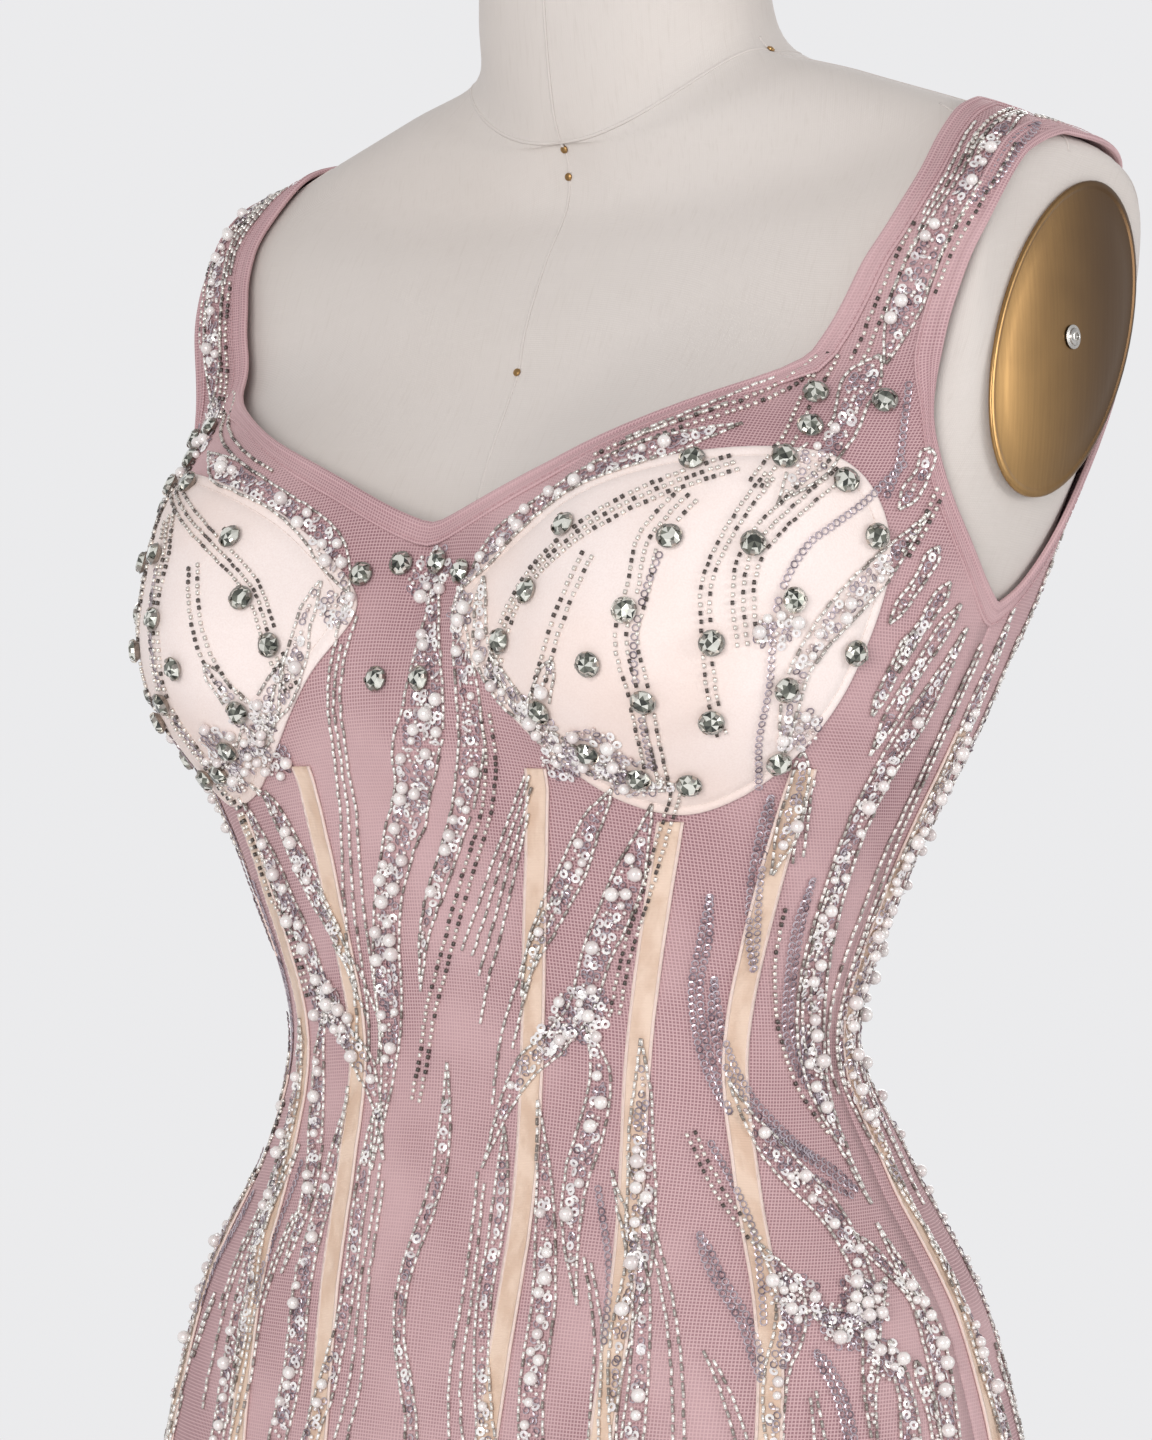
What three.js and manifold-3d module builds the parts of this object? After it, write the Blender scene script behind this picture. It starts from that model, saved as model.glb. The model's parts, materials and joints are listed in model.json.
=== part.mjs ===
// A beaded bodycon mini dress with padded cups and boning channels, on a limbless dress form.
// The form stands on a pole and a round base.
// Millimetres, +Z up. The dress faces -Y and the wearer's left is +X.
// The origin is the middle of the base's underside.
import * as THREE from 'three';
import { mergeVertices } from 'three/addons/utils/BufferGeometryUtils.js';
import Module from 'manifold-3d';

const wasm = await Module();
wasm.setup();

// ---------- driving dimensions ----------
const WAIST_Z = 880;            // the form's natural waist above the floor
const CLEAR = 0.8;              // the cloth's inner face off the figure
const FORM_INSET = 1.1;         // how much smaller the form is than the figure, under the cloth
const FORM_BUST = 0.9;          // the form's share of the figure's bust
const WALL = 1.2;               // beaded mesh over its power-net backing
const LAID_ON = 0.3;            // a trim's inner face off the panel that it lies on
const TRIM = 0.9;               // thickness of bindings and channels
const BAND_WIDTH = 9;           // width of the turned bands along neckline and armholes
const CHANNEL_WIDTH = 8.5;      // width of a boning channel
const SIDE_SEAM = 91.7;         // angle round the body where front and back meet
const SIDE_GAP = 0.06;          // half the seam gap there, in degrees
const SHOULDER_GAP = 0.012;     // half the seam gap at the shoulder, in degrees
const CENTRE_BACK_GAP = 0.06;   // half the gap of the zip's slit, in degrees
// The neckline and the strap fronts stand off the chest, between these heights and within these angles.
const NECKLINE_STAND = { off: 3.5, begins: 165, full: 215, ebbs: 270, ends: 322, fullTurn: 46, endTurn: 74 };
const CUP_BRIDGE = { off: 17, halfWidth: 62 };   // the cloth bridges the hollow between the cups
const ZIP_ROOM = { off: 1.4, from: 166, to: 173 };   // extra room behind the centre back for the zip's tape
const FORM_BARE = { covered: 328, bare: 349 };   // heights between which the form grows to its full size
const CUP_GAP = 0.6;            // a cup's inner face off the panel
const CUP_EDGE = 1.6;           // a cup's thickness at its rim
const CUP_LOFT = 2.6;           // what its padding adds in the middle
const CUP_CELLS = 14;           // grid cells across a cup
const STONE = { width: 9, table: 0.34, height: 4.2, seat: 0.1, sides: 8 };
const ARM_PLANE = { x: 191.5, y: 52, z: 258, leanY: -0.05, leanZ: 0, rounding: 0.24 };
const PLATE = { y: 44.5, z: 257.5, long: 65, short: 38.5, lean: 31, thick: 1.4, dome: 3 };
const PLATE_SCREW = { radius: 4.5, height: 2 };
const POLE_RADIUS = 17;
const BASE = { radius: 200, rim: 8, dome: 22, collar: 60, hub: 30, hubHeight: 46 };
const SLIDER = { width: 6, length: 9, thick: 1.6, lugWidth: 2, lugRadius: 1.5, axis: 3.2, below: 8 };
const PULL = { length: 20, width: 5.2, thick: 1.3, heel: 1.1 };
const SEAM_GAP = 0.3;           // between pieces that touch

function table(columns, rows) {
  return rows.map((row) => Object.fromEntries(columns.map((column, i) => [column, row[i]])));
}

// The figure, a row for each ring: heights from the waist, half width, depth before and behind its middle.
const RINGS = table(
  ['name', 'side', 'frontDrop', 'backDrop', 'half', 'front', 'back', 'frontPower', 'backPower', 'middle'],
  [
    ['hem', -420, 0, 0, 154, 102, 111, 2.4, 2.2, 0],
    ['base', -350, 0, 0, 160, 104, 118, 2.4, 2.2, 0],
    ['thigh', -290, 0, 0, 169, 107, 124, 2.5, 2.2, 2],
    ['hip', -200, 0, 0, 181, 113, 130, 2.5, 2.3, 4],
    ['high hip', -110, 0, 0, 162, 104, 110, 2.5, 2.3, 7],
    ['belly', -50, 0, 0, 129, 92, 91, 2.5, 2.3, 7],
    ['waist', 0, 0, 0, 116, 80, 75, 2.4, 2.2, 0],
    ['ribs', 60, 0, 0, 136, 88, 83, 2.5, 2.2, 0],
    ['under bust', 115, 0, 0, 163, 94, 100, 2.6, 2.3, 1],
    ['bust', 165, 0, 0, 179, 86, 104, 2.5, 2.4, 14],
    ['chest', 210, 0, 0, 193, 83, 96, 2.6, 2.6, 26],
    ['arm pit', 250, -10, -6, 207, 79, 84, 2.7, 2.9, 37],
    ['shoulder ball', 290, -18, -8, 220, 73, 84, 2.8, 3.0, 43],
    ['shoulder cap', 320.5, -26, -8, 215, 64, 84, 2.8, 2.8, 45],
    ['slope', 341.5, -26, 0, 166, 52, 79, 2.6, 2.4, 45],
    ['yoke', 362, -27, 6, 106, 48, 71, 2.4, 2.2, 39],
    ['neck base', 376, -36, 10, 67, 43, 64, 2.0, 2.0, 31],
    ['low neck', 402, -30, 8, 60, 45, 55, 2.0, 2.0, 27],
    ['neck', 440, -16, 4, 58, 49, 49, 2.0, 2.0, 26],
    ['neck top', 470, 0, 0, 58, 52, 46, 2.0, 2.0, 27],
  ],
);
const BUST = { x: 96, height: 166, forward: 45, across: 107, above: 108, below: 80, outward: 0.12, power: 2 };

// Angles of the three front boning channels at each ring from the hem to under the bust.
const CHANNEL_PATHS = table(
  ['ring', 'inner', 'middle', 'outer'],
  [
    ['hem', 11, 27, 51],
    ['base', 10, 25.5, 49.5],
    ['thigh', 9, 24, 48],
    ['hip', 8, 22, 47],
    ['high hip', 10.5, 27, 53],
    ['belly', 14.5, 34.5, 59],
    ['waist', 17, 39.5, 62.5],
    ['ribs', 16.5, 39.5, 62.5],
    ['under bust', 15, 38, 62],
  ],
);
const SIDE_CHANNEL = { from: 95.5, to: 99.5 };   // on the back, just behind the side seam

// The top edge of the front from the centre to the side, where it isn't the foot of the strap.
const FRONT_NECKLINE = table(
  ['angle', 'height'],
  [[0, 188], [2.5, 193], [5.5, 199], [8.5, 204.5], [12, 210], [18, 219], [26, 231]],
);
const FRONT_ARMHOLE = table(
  ['angle', 'height'],
  [[58.5, 224], [65, 208], [72.5, 193], [82, 177], [SIDE_SEAM - SIDE_GAP, 160]],
);
const BACK_ARMHOLE = table(
  ['angle', 'height'],
  [[SIDE_SEAM + SIDE_GAP, 160], [SIDE_CHANNEL.from, 165], [SIDE_CHANNEL.to, 174], [105, 190], [111, 212]],
);
const BACK_NECKLINE = table(
  ['angle', 'height'],
  [[160, 226], [168.5, 220], [175.3, 217.5], [180 - CENTRE_BACK_GAP, 217]],
);
// Angles of the back's lines below the armhole, from the side seam to the zip.
const BACK_LINES = [
  SIDE_SEAM + SIDE_GAP, SIDE_CHANNEL.from, SIDE_CHANNEL.to,
  107, 114, 121, 128, 136, 144, 152, 160, 168, 175.3, 180 - CENTRE_BACK_GAP,
];

// Straps, a row for each station from the panel up to the shoulder seam: neck edge and arm edge.
const FRONT_STRAP = table(
  ['neckAngle', 'neckHeight', 'armAngle', 'armHeight'],
  [
    [34, 242, 54.5, 242],
    [34.5, 264, 52, 264],
    [36, 286, 52.5, 285],
    [41, 306, 57.5, 304],
    [54, 325, 68.5, 320],
    [72, 339.5, 79.5, 327.5],
    [90 - SHOULDER_GAP, 346, 90 - SHOULDER_GAP, 331.5],
  ],
);
const BACK_STRAP = table(
  ['neckAngle', 'neckHeight', 'armAngle', 'armHeight'],
  [
    [152, 235, 118, 238],
    [156, 258, 129, 260],
    [158, 281, 137, 282],
    [156, 304, 139, 302],
    [148, 325, 132, 318],
    [125, 339.5, 111, 329],
    [90 + SHOULDER_GAP, 346, 90 + SHOULDER_GAP, 331.5],
  ],
);
const FRONT_STRAP_CELLS = 6;
const BACK_STRAP_CELLS = 4;
const STRAP_ROWS = 11;

// Levels of the panel rows from the hem to under the bust, and the rows above that.
const LOWER_LEVELS = [0, 0.8, 1.6, 2.3, 3, 3.6, 4.2, 4.8, 5.4, 6, 6.6, 7.1, 7.4, 7.57, 7.75, 8];
const UPPER_ROWS = 8;
const FORM_LEVELS = [
  1, 1.5, 2, 2.5, 3, 3.5, 4, 4.5, 5, 5.5, 6, 6.5, 7, 7.3, 7.6, 7.8, 8, 8.3, 8.6, 9, 9.4, 9.8, 10.2, 10.6,
  11, 11.5, 12, 12.5, 13, 13.3, 13.6, 13.8, 14, 14.3, 14.7, 15, 15.5, 16, 17, 18, 19,
];
const FORM_SIDES = 36;
// Lines that fill the way up to each channel, from the centre front outwards.
const CHANNEL_FILLERS = [['inner', 3], ['middle', 3], ['outer', 2]];
const CHANNEL_TOPS = { inner: 7.75, middle: 7.4, outer: 7.75, side: 8 };
const ZIP_FOOT = 3;             // the level where the zip's tape begins

// A cup's outline on the figure's left, anticlockwise from its inner point.
const CUP_OUTLINE = table(
  ['angle', 'height'],
  [
    [4.5, 163], [9, 134], [18, 108], [30, 90], [44, 86],
    [58, 103], [66, 132], [64, 174], [51, 205], [34, 210], [16, 196],
  ],
);
const CUP_MIDDLE = { angle: 37, height: 149 };
const CUP_STONE_STEP = 3;

// Stones on the front panel: the line, the row counted down from the top, and the rows that each one spans.
const PANEL_STONES = table(
  ['line', 'down', 'rows'],
  [[0, 3, 2], [1, 4, 2], [0, 8, 2], [8, 2, 1], [9, 3, 1], [11, 2, 1]],
);

// ---------- the figure's surface ----------
function catmullRom(a, b, c, d, u) {
  return 0.5 * (2 * b + (c - a) * u + (2 * a - 5 * b + 4 * c - d) * u * u + (3 * b - a - 3 * c + d) * u ** 3);
}

function alongRows(rows, level, column) {
  const last = rows.length - 1;
  const at = Math.min(Math.max(level, 0), last - 1e-9);
  const i = Math.floor(at);
  const row = (k) => rows[Math.min(Math.max(i + k, 0), last)][column];
  return catmullRom(row(-1), row(0), row(1), row(2), at - i);
}

function smoothStep(from, to, value) {
  return THREE.MathUtils.smoothstep(value, Math.min(from, to), Math.max(from, to));
}

function ease(from, to, value) {
  return from < to ? smoothStep(from, to, value) : 1 - smoothStep(to, from, value);
}

function bustBulge(x, height, facing) {
  const rise = height - BUST.height;
  const tall = rise > 0 ? BUST.above : BUST.below;
  const away = ((Math.abs(x) - BUST.x) / BUST.across) ** 2 + (rise / tall) ** 2;
  return BUST.forward * Math.max(0, 1 - away) ** BUST.power * facing;
}

function cupBridge(x, height) {
  const rise = height - BUST.height;
  const tall = rise > 0 ? BUST.above : BUST.below;
  const across = Math.max(0, 1 - (x / CUP_BRIDGE.halfWidth) ** 2) ** 2;
  return CUP_BRIDGE.off * across * Math.max(0, 1 - (rise / tall) ** 2);
}

function armLimit(y, height) {
  return ARM_PLANE.x - ARM_PLANE.leanZ * (height - ARM_PLANE.z) - ARM_PLANE.leanY * (y - ARM_PLANE.y);
}

function bodyPoint(level, angle, clothed = true) {
  const radians = THREE.MathUtils.degToRad(angle);
  const sine = Math.sin(radians);
  const cosine = Math.cos(radians);
  const column = (name) => alongRows(RINGS, level, name);
  const before = cosine > 0;
  const power = 2 / column(before ? 'frontPower' : 'backPower');
  let x = column('half') * Math.sign(sine) * Math.abs(sine) ** power;
  let y = column('middle') + (before ? -column('front') : column('back')) * Math.abs(cosine) ** power;
  const height = column('side') + column(before ? 'frontDrop' : 'backDrop') * cosine * cosine;
  const facing = THREE.MathUtils.clamp(cosine * 1.6, 0, 1);
  const bulge = bustBulge(x, height, facing) * (clothed ? 1 : FORM_BUST);
  y -= bulge + (clothed ? cupBridge(x, height) * facing : 0);
  x += Math.sign(x) * BUST.outward * bulge;
  const inside = armLimit(y, height) - Math.abs(x);
  const rounded = Math.log1p(Math.exp(ARM_PLANE.rounding * inside)) / ARM_PLANE.rounding;
  x = Math.sign(x) * (armLimit(y, height) - rounded);
  return new THREE.Vector3(x, y, WAIST_Z + height);
}

function bodyNormal(level, angle, clothed = true) {
  const around = bodyPoint(level, angle + 0.5, clothed).sub(bodyPoint(level, angle - 0.5, clothed));
  const upward = bodyPoint(level + 0.02, angle, clothed).sub(bodyPoint(level - 0.02, angle, clothed));
  return around.cross(upward).normalize();
}

function levelAtHeight(height, angle) {
  let low = 0;
  let high = RINGS.length - 1;
  for (let i = 0; i < 40; i += 1) {
    const middle = (low + high) / 2;
    if (bodyPoint(middle, angle).z - WAIST_Z < height) {
      low = middle;
    } else {
      high = middle;
    }
  }
  return low;
}

function spot(angle, height) {
  return { angle, level: levelAtHeight(height, angle) };
}

function between(a, b, share) {
  return {
    angle: THREE.MathUtils.lerp(a.angle, b.angle, share),
    level: THREE.MathUtils.lerp(a.level, b.level, share),
  };
}

function clothLift(level, angle) {
  const height = bodyPoint(level, angle).z - WAIST_Z;
  const turn = Math.abs(angle);
  const { off, begins, full, ebbs, ends, fullTurn, endTurn } = NECKLINE_STAND;
  const standing = ease(begins, full, height) * ease(ends, ebbs, height) * ease(endTurn, fullTurn, turn);
  return CLEAR + off * standing + ZIP_ROOM.off * ease(ZIP_ROOM.from, ZIP_ROOM.to, turn);
}

function clothPoint(place, lift) {
  const normal = bodyNormal(place.level, place.angle);
  const point = bodyPoint(place.level, place.angle);
  return point.addScaledVector(normal, clothLift(place.level, place.angle) + lift);
}

// ---------- walls: a sheet of cells, given an outer and an inner face ----------
class Sheet {
  constructor() {
    this.places = [];
    this.cells = [];
    this.known = new Map();
  }

  index(place) {
    const key = `${place.level.toFixed(6)} ${place.angle.toFixed(6)}`;
    if (!this.known.has(key)) {
      this.known.set(key, this.places.length);
      this.places.push(place);
    }
    return this.known.get(key);
  }

  cell(corners) {
    this.cells.push({ plain: [corners.map((place) => this.index(place))] });
  }

  // Several cells, one above the other, that carry one stone.
  stoneCell(quads, border) {
    const indices = (places) => places.map((place) => this.index(place));
    this.cells.push({ plain: quads.map(indices), stoneBorder: indices(border) });
  }

  // grid[i][j] runs round the body with i and up it with j.
  // stoneAt gives the rows that a stone spans from there.
  grid(grid, stoneAt = () => 0) {
    for (let i = 0; i + 1 < grid.length; i += 1) {
      for (let j = 0; j + 1 < grid[i].length; j += 1) {
        const quad = (row) => [grid[i][row], grid[i + 1][row], grid[i + 1][row + 1], grid[i][row + 1]];
        const rows = stoneAt(i, j);
        if (rows > 0) {
          const stack = Array.from({ length: rows }, (_, k) => quad(j + k));
          const right = grid[i + 1].slice(j, j + rows + 1);
          const left = grid[i].slice(j, j + rows + 1).reverse();
          this.stoneCell(stack, [...right, ...left]);
          j += rows - 1;
        } else {
          this.cell(quad(j));
        }
      }
    }
  }

  // pairs hold an edge place and the place inside it, with the opening on the left of the way along them.
  strip(pairs, closed = false) {
    const count = closed ? pairs.length : pairs.length - 1;
    const at = (i) => pairs[i % pairs.length];
    for (let i = 0; i < count; i += 1) {
      const here = at(i);
      const next = at(i + 1);
      const turning = this.index(here.edge) === this.index(next.edge);
      if (turning && this.index(next.edge) === this.index(at(i + 2).edge)) {
        this.cell([here.inner, next.inner, at(i + 2).inner, here.edge]);
        i += 1;
      } else if (turning) {
        this.cell([here.inner, next.inner, here.edge]);
      } else {
        this.cell([here.inner, next.inner, next.edge, here.edge]);
      }
    }
  }
}

// A faceted stone stands on its border of panel points: a flat frame, sloping sides and a flat table.
function stoneFaces(border, points, faces) {
  const rim = border.map((index) => points[index]);
  const middle = rim.reduce((sum, point) => sum.add(point), new THREE.Vector3()).divideScalar(rim.length);
  const normal = new THREE.Vector3();
  rim.forEach((point, k) => {
    const next = rim[(k + 1) % rim.length];
    normal.add(point.clone().sub(middle).cross(next.clone().sub(middle)));
  });
  normal.normalize();
  const across = rim[0].clone().sub(middle).projectOnPlane(normal).normalize();
  const up = normal.clone().cross(across);
  const turnOf = (point) => {
    const arm = point.clone().sub(middle);
    return Math.atan2(arm.dot(up), arm.dot(across));
  };
  const ring = (radius, rise) => Array.from({ length: STONE.sides }, (_, k) => {
    const turn = (2 * Math.PI * k) / STONE.sides;
    const point = middle.clone().addScaledVector(across, radius * Math.cos(turn));
    points.push(point.addScaledVector(up, radius * Math.sin(turn)).addScaledVector(normal, rise));
    return points.length - 1;
  });
  const foot = ring(STONE.width / 2, STONE.seat);
  const top = ring(STONE.width * STONE.table, STONE.height);
  frameFaces(border, foot, (index) => turnOf(points[index]), faces);
  foot.forEach((here, k) => {
    const n = (k + 1) % STONE.sides;
    faces.push([here, foot[n], top[n]], [here, top[n], top[k]]);
  });
  for (let k = 1; k + 1 < STONE.sides; k += 1) {
    faces.push([top[0], top[k], top[k + 1]]);
  }
}

// Joins two loops that both start at turn 0 and run anticlockwise, the outer one round the inner one.
function frameFaces(outer, inner, turnOf, faces) {
  const whole = 2 * Math.PI;
  const turn = (loop, k) => (k === loop.length ? whole : (turnOf(loop[k]) + whole + 1e-6) % whole);
  let a = 0;
  let b = 0;
  while (a < outer.length || b < inner.length) {
    const here = [outer[a % outer.length], inner[b % inner.length]];
    if (b === inner.length || (a < outer.length && turn(outer, a + 1) <= turn(inner, b + 1))) {
      faces.push([here[0], outer[(a + 1) % outer.length], here[1]]);
      a += 1;
    } else {
      faces.push([here[0], inner[(b + 1) % inner.length], here[1]]);
      b += 1;
    }
  }
}

function boundaryEdges(quads) {
  const edges = new Map();
  for (const corners of quads) {
    corners.forEach((from, i) => {
      const to = corners[(i + 1) % corners.length];
      if (!edges.delete(`${to} ${from}`)) {
        edges.set(`${from} ${to}`, [from, to]);
      }
    });
  }
  return [...edges.values()];
}

// A cell is split along its shorter diagonal, so a trim's facets run level with its panel's.
function cellTriangles(corners, places) {
  if (corners.length === 3) {
    return [corners];
  }
  const [a, b, c, d] = corners;
  const [pa, pb, pc, pd] = corners.map((index) => bodyPoint(places[index].level, places[index].angle));
  return pa.distanceTo(pc) < pb.distanceTo(pd) ? [[a, b, c], [a, c, d]] : [[a, b, d], [b, c, d]];
}

function wallGeometry(sheet, outerPoint, innerPoint) {
  const points = sheet.places.map(outerPoint);
  const behind = points.length;
  points.push(...sheet.places.map(innerPoint));
  const faces = [];
  for (const { plain, stoneBorder } of sheet.cells) {
    const triangles = plain.flatMap((corners) => cellTriangles(corners, sheet.places));
    if (stoneBorder) {
      stoneFaces(stoneBorder, points, faces);
    } else {
      faces.push(...triangles);
    }
    faces.push(...triangles.map(([a, b, c]) => [behind + a, behind + c, behind + b]));
  }
  for (const [from, to] of boundaryEdges(sheet.cells.flatMap((cell) => cell.plain))) {
    faces.push([from, behind + from, behind + to]);
    faces.push([from, behind + to, to]);
  }
  return facetedGeometry(points, faces);
}

function facetedGeometry(points, faces) {
  const positions = faces.flat().flatMap((index) => points[index].toArray());
  const geometry = new THREE.BufferGeometry();
  geometry.setAttribute('position', new THREE.Float32BufferAttribute(positions, 3));
  geometry.computeVertexNormals();
  return geometry;
}

// ---------- mirrored halves ----------
function mirrorPlace(place) {
  return { ...place, angle: 0 - place.angle };
}

function mirrorGrid(grid) {
  return grid.map((line) => line.map(mirrorPlace)).reverse();
}

function mirrorPairs(pairs) {
  return pairs.map(({ edge, inner }) => ({ edge: mirrorPlace(edge), inner: mirrorPlace(inner) })).reverse();
}

// ---------- panel grids of the left half ----------
function strapRow(stations, cells, share) {
  const at = share * (stations.length - 1);
  const column = (name) => alongRows(stations, at, name);
  const neck = spot(column('neckAngle'), column('neckHeight'));
  const arm = spot(column('armAngle'), column('armHeight'));
  const width = clothPoint(neck, 0).distanceTo(clothPoint(arm, 0));
  const band = BAND_WIDTH / width;
  const middles = Array.from({ length: cells - 1 }, (_, k) => band + ((1 - 2 * band) * k) / (cells - 2));
  return [0, ...middles, 1].map((part) => between(neck, arm, part));
}

function strapGrid(stations, cells) {
  const rows = Array.from({ length: STRAP_ROWS + 1 }, (_, k) => strapRow(stations, cells, k / STRAP_ROWS));
  return rows[0].map((_, line) => rows.map((row) => row[line]));
}

function channelHalfAngle(level, angle) {
  const arc = bodyPoint(level, angle + 0.5).distanceTo(bodyPoint(level, angle - 0.5));
  return CHANNEL_WIDTH / 2 / arc;
}

// Angles of the front's lines below the bust: each channel takes two of them.
function frontAngles(level) {
  const angles = [0];
  let from = 0;
  for (const [name, fillers] of CHANNEL_FILLERS) {
    const middle = alongRows(CHANNEL_PATHS, level, name);
    const half = channelHalfAngle(level, middle);
    for (let k = 1; k <= fillers; k += 1) {
      angles.push(THREE.MathUtils.lerp(from, middle - half, k / (fillers + 1)));
    }
    angles.push(middle - half, middle + half);
    from = middle + half;
  }
  const side = SIDE_SEAM - SIDE_GAP;
  for (let k = 1; k <= 4; k += 1) {
    angles.push(THREE.MathUtils.lerp(from, side, k / 4));
  }
  return angles;
}

// The first of the two panel lines that each channel lies between.
const CHANNEL_LINES = { inner: 4, middle: 9, outer: 13, side: 1 };
// The lines at the corners of the straps' feet.
const FRONT_CORNER = 7;
const FRONT_ARM_CORNER = 13;
const BACK_ARM_CORNER = 5;
const BACK_CORNER = 9;

function panelLine(lowerAngle, top) {
  const lower = LOWER_LEVELS.map((level) => ({ level, angle: lowerAngle(level) }));
  const foot = lower[lower.length - 1];
  const bandLevels = BAND_WIDTH / clothPoint(top, 0).distanceTo(clothPoint(between(foot, top, 0.9), 0)) * 0.1;
  const below = between(foot, top, 1 - bandLevels);
  const upper = Array.from({ length: UPPER_ROWS }, (_, k) => between(foot, below, (k + 1) / UPPER_ROWS));
  return [...lower, ...upper, top];
}

function edgeSpots(rows) {
  return rows.map((row) => spot(row.angle, row.height));
}

function frontGrid() {
  const strapFoot = strapRow(FRONT_STRAP, FRONT_STRAP_CELLS, 0);
  const tops = [...edgeSpots(FRONT_NECKLINE), ...strapFoot, ...edgeSpots(FRONT_ARMHOLE)];
  return tops.map((top, line) => panelLine((level) => frontAngles(level)[line], top));
}

function backGrid() {
  const strapFoot = strapRow(BACK_STRAP, BACK_STRAP_CELLS, 0).reverse();
  const tops = [...edgeSpots(BACK_ARMHOLE), ...strapFoot, ...edgeSpots(BACK_NECKLINE)];
  return tops.map((top, line) => panelLine(() => BACK_LINES[line], top));
}

const FRONT = frontGrid();
const BACK = backGrid();
const FRONT_STRAP_GRID = strapGrid(FRONT_STRAP, FRONT_STRAP_CELLS);
const BACK_STRAP_GRID = strapGrid(BACK_STRAP, BACK_STRAP_CELLS).reverse();
const TOP_ROW = FRONT[0].length - 1;

// ---------- materials ----------
const LOOKS = {
  mesh: { color: 0xb98a90, roughness: 0.75, metalness: 0 },
  cup: { color: 0xf0dcd2, roughness: 0.7, metalness: 0 },
  satinTape: { color: 0xe0bd98, roughness: 0.5, metalness: 0 },
  linen: { color: 0xddd6cc, roughness: 0.85, metalness: 0 },
  brass: { color: 0xa8854f, roughness: 0.35, metalness: 0.9 },
  steel: { color: 0xc9c9c9, roughness: 0.3, metalness: 1 },
  nylon: { color: 0xb98a90, roughness: 0.6, metalness: 0 },
  darkIron: { color: 0x2a2a2c, roughness: 0.5, metalness: 0.6 },
};

const dress = new THREE.Group();

function addPiece(name, geometry, look) {
  const mesh = new THREE.Mesh(geometry, new THREE.MeshStandardMaterial(LOOKS[look]));
  mesh.name = name;
  dress.add(mesh);
  return mesh;
}

function addWall(name, sheet, look, innerLift, thickness) {
  const outer = (place) => clothPoint(place, innerLift + thickness);
  const inner = (place) => clothPoint(place, innerLift);
  addPiece(name, wallGeometry(sheet, outer, inner), look);
}

// ---------- the cut cloth ----------
function panelStone(line, row) {
  const stone = PANEL_STONES.find((each) => each.line === line && TOP_ROW - each.down === row);
  return stone ? stone.rows : 0;
}

function addFront() {
  const sheet = new Sheet();
  sheet.grid(FRONT, panelStone);
  sheet.grid(FRONT_STRAP_GRID);
  sheet.grid(mirrorGrid(FRONT), (i, j) => panelStone(FRONT.length - 2 - i, j));
  sheet.grid(mirrorGrid(FRONT_STRAP_GRID));
  addWall('front_panel', sheet, 'mesh', 0, WALL);
}

function addBack(name, turned) {
  const sheet = new Sheet();
  sheet.grid(turned(BACK));
  sheet.grid(turned(BACK_STRAP_GRID));
  addWall(name, sheet, 'mesh', 0, WALL);
}

// ---------- trims that lie on the panels ----------
function addChannels(side, turned) {
  for (const [name, line] of Object.entries(CHANNEL_LINES)) {
    const grid = name === 'side' ? BACK : FRONT;
    const rows = LOWER_LEVELS.findIndex((level) => level >= CHANNEL_TOPS[name]) + 1;
    const sheet = new Sheet();
    sheet.grid(turned([grid[line].slice(0, rows), grid[line + 1].slice(0, rows)]));
    addWall(`channel_${name}_${side}`, sheet, 'satinTape', WALL + LAID_ON, TRIM);
  }
}

function bandAcross(grid, from, to) {
  const lines = grid.slice(from, to + 1);
  return lines.map((line) => ({ edge: line[TOP_ROW], inner: line[TOP_ROW - 1] }));
}

function bandUp(edgeLine, innerLine) {
  return edgeLine.map((edge, row) => ({ edge, inner: innerLine[row] }));
}

function neckPairs() {
  const frontCorner = { edge: FRONT[FRONT_CORNER][TOP_ROW], inner: FRONT[FRONT_CORNER + 1][TOP_ROW - 1] };
  const backCorner = { edge: BACK[BACK_CORNER][TOP_ROW], inner: BACK[BACK_CORNER - 1][TOP_ROW - 1] };
  const lastStrapLine = BACK_STRAP_GRID.length - 1;
  return [
    ...bandAcross(FRONT, 0, FRONT_CORNER),
    frontCorner,
    ...bandUp(FRONT_STRAP_GRID[0], FRONT_STRAP_GRID[1]),
    ...bandUp(BACK_STRAP_GRID[lastStrapLine], BACK_STRAP_GRID[lastStrapLine - 1]).reverse(),
    backCorner,
    ...bandAcross(BACK, BACK_CORNER, BACK.length - 1),
  ];
}

function armholePairs() {
  const lastStrapLine = FRONT_STRAP_GRID.length - 1;
  return [
    ...bandUp(FRONT_STRAP_GRID[lastStrapLine], FRONT_STRAP_GRID[lastStrapLine - 1]).reverse(),
    ...bandAcross(FRONT, FRONT_ARM_CORNER, FRONT.length - 1),
    ...bandAcross(BACK, 0, BACK_ARM_CORNER),
    ...bandUp(BACK_STRAP_GRID[0], BACK_STRAP_GRID[1]),
  ];
}

function addNeckBinding() {
  const left = neckPairs();
  const sheet = new Sheet();
  sheet.strip([...mirrorPairs(left).slice(0, -1), ...left]);
  addWall('neck_binding', sheet, 'mesh', WALL + LAID_ON, TRIM);
}

function addArmholeBinding(name, turned) {
  const sheet = new Sheet();
  sheet.strip(turned(armholePairs()), true);
  addWall(name, sheet, 'mesh', WALL + LAID_ON, TRIM);
}

// ---------- padded cups with their stones ----------
function outlinePoint(share) {
  const count = CUP_OUTLINE.length;
  const at = share * count;
  const i = Math.floor(at);
  const row = (k) => CUP_OUTLINE[(i + k + count) % count];
  const column = (name) => catmullRom(row(-1)[name], row(0)[name], row(1)[name], row(2)[name], at - i);
  return { angle: column('angle'), height: column('height') };
}

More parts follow.
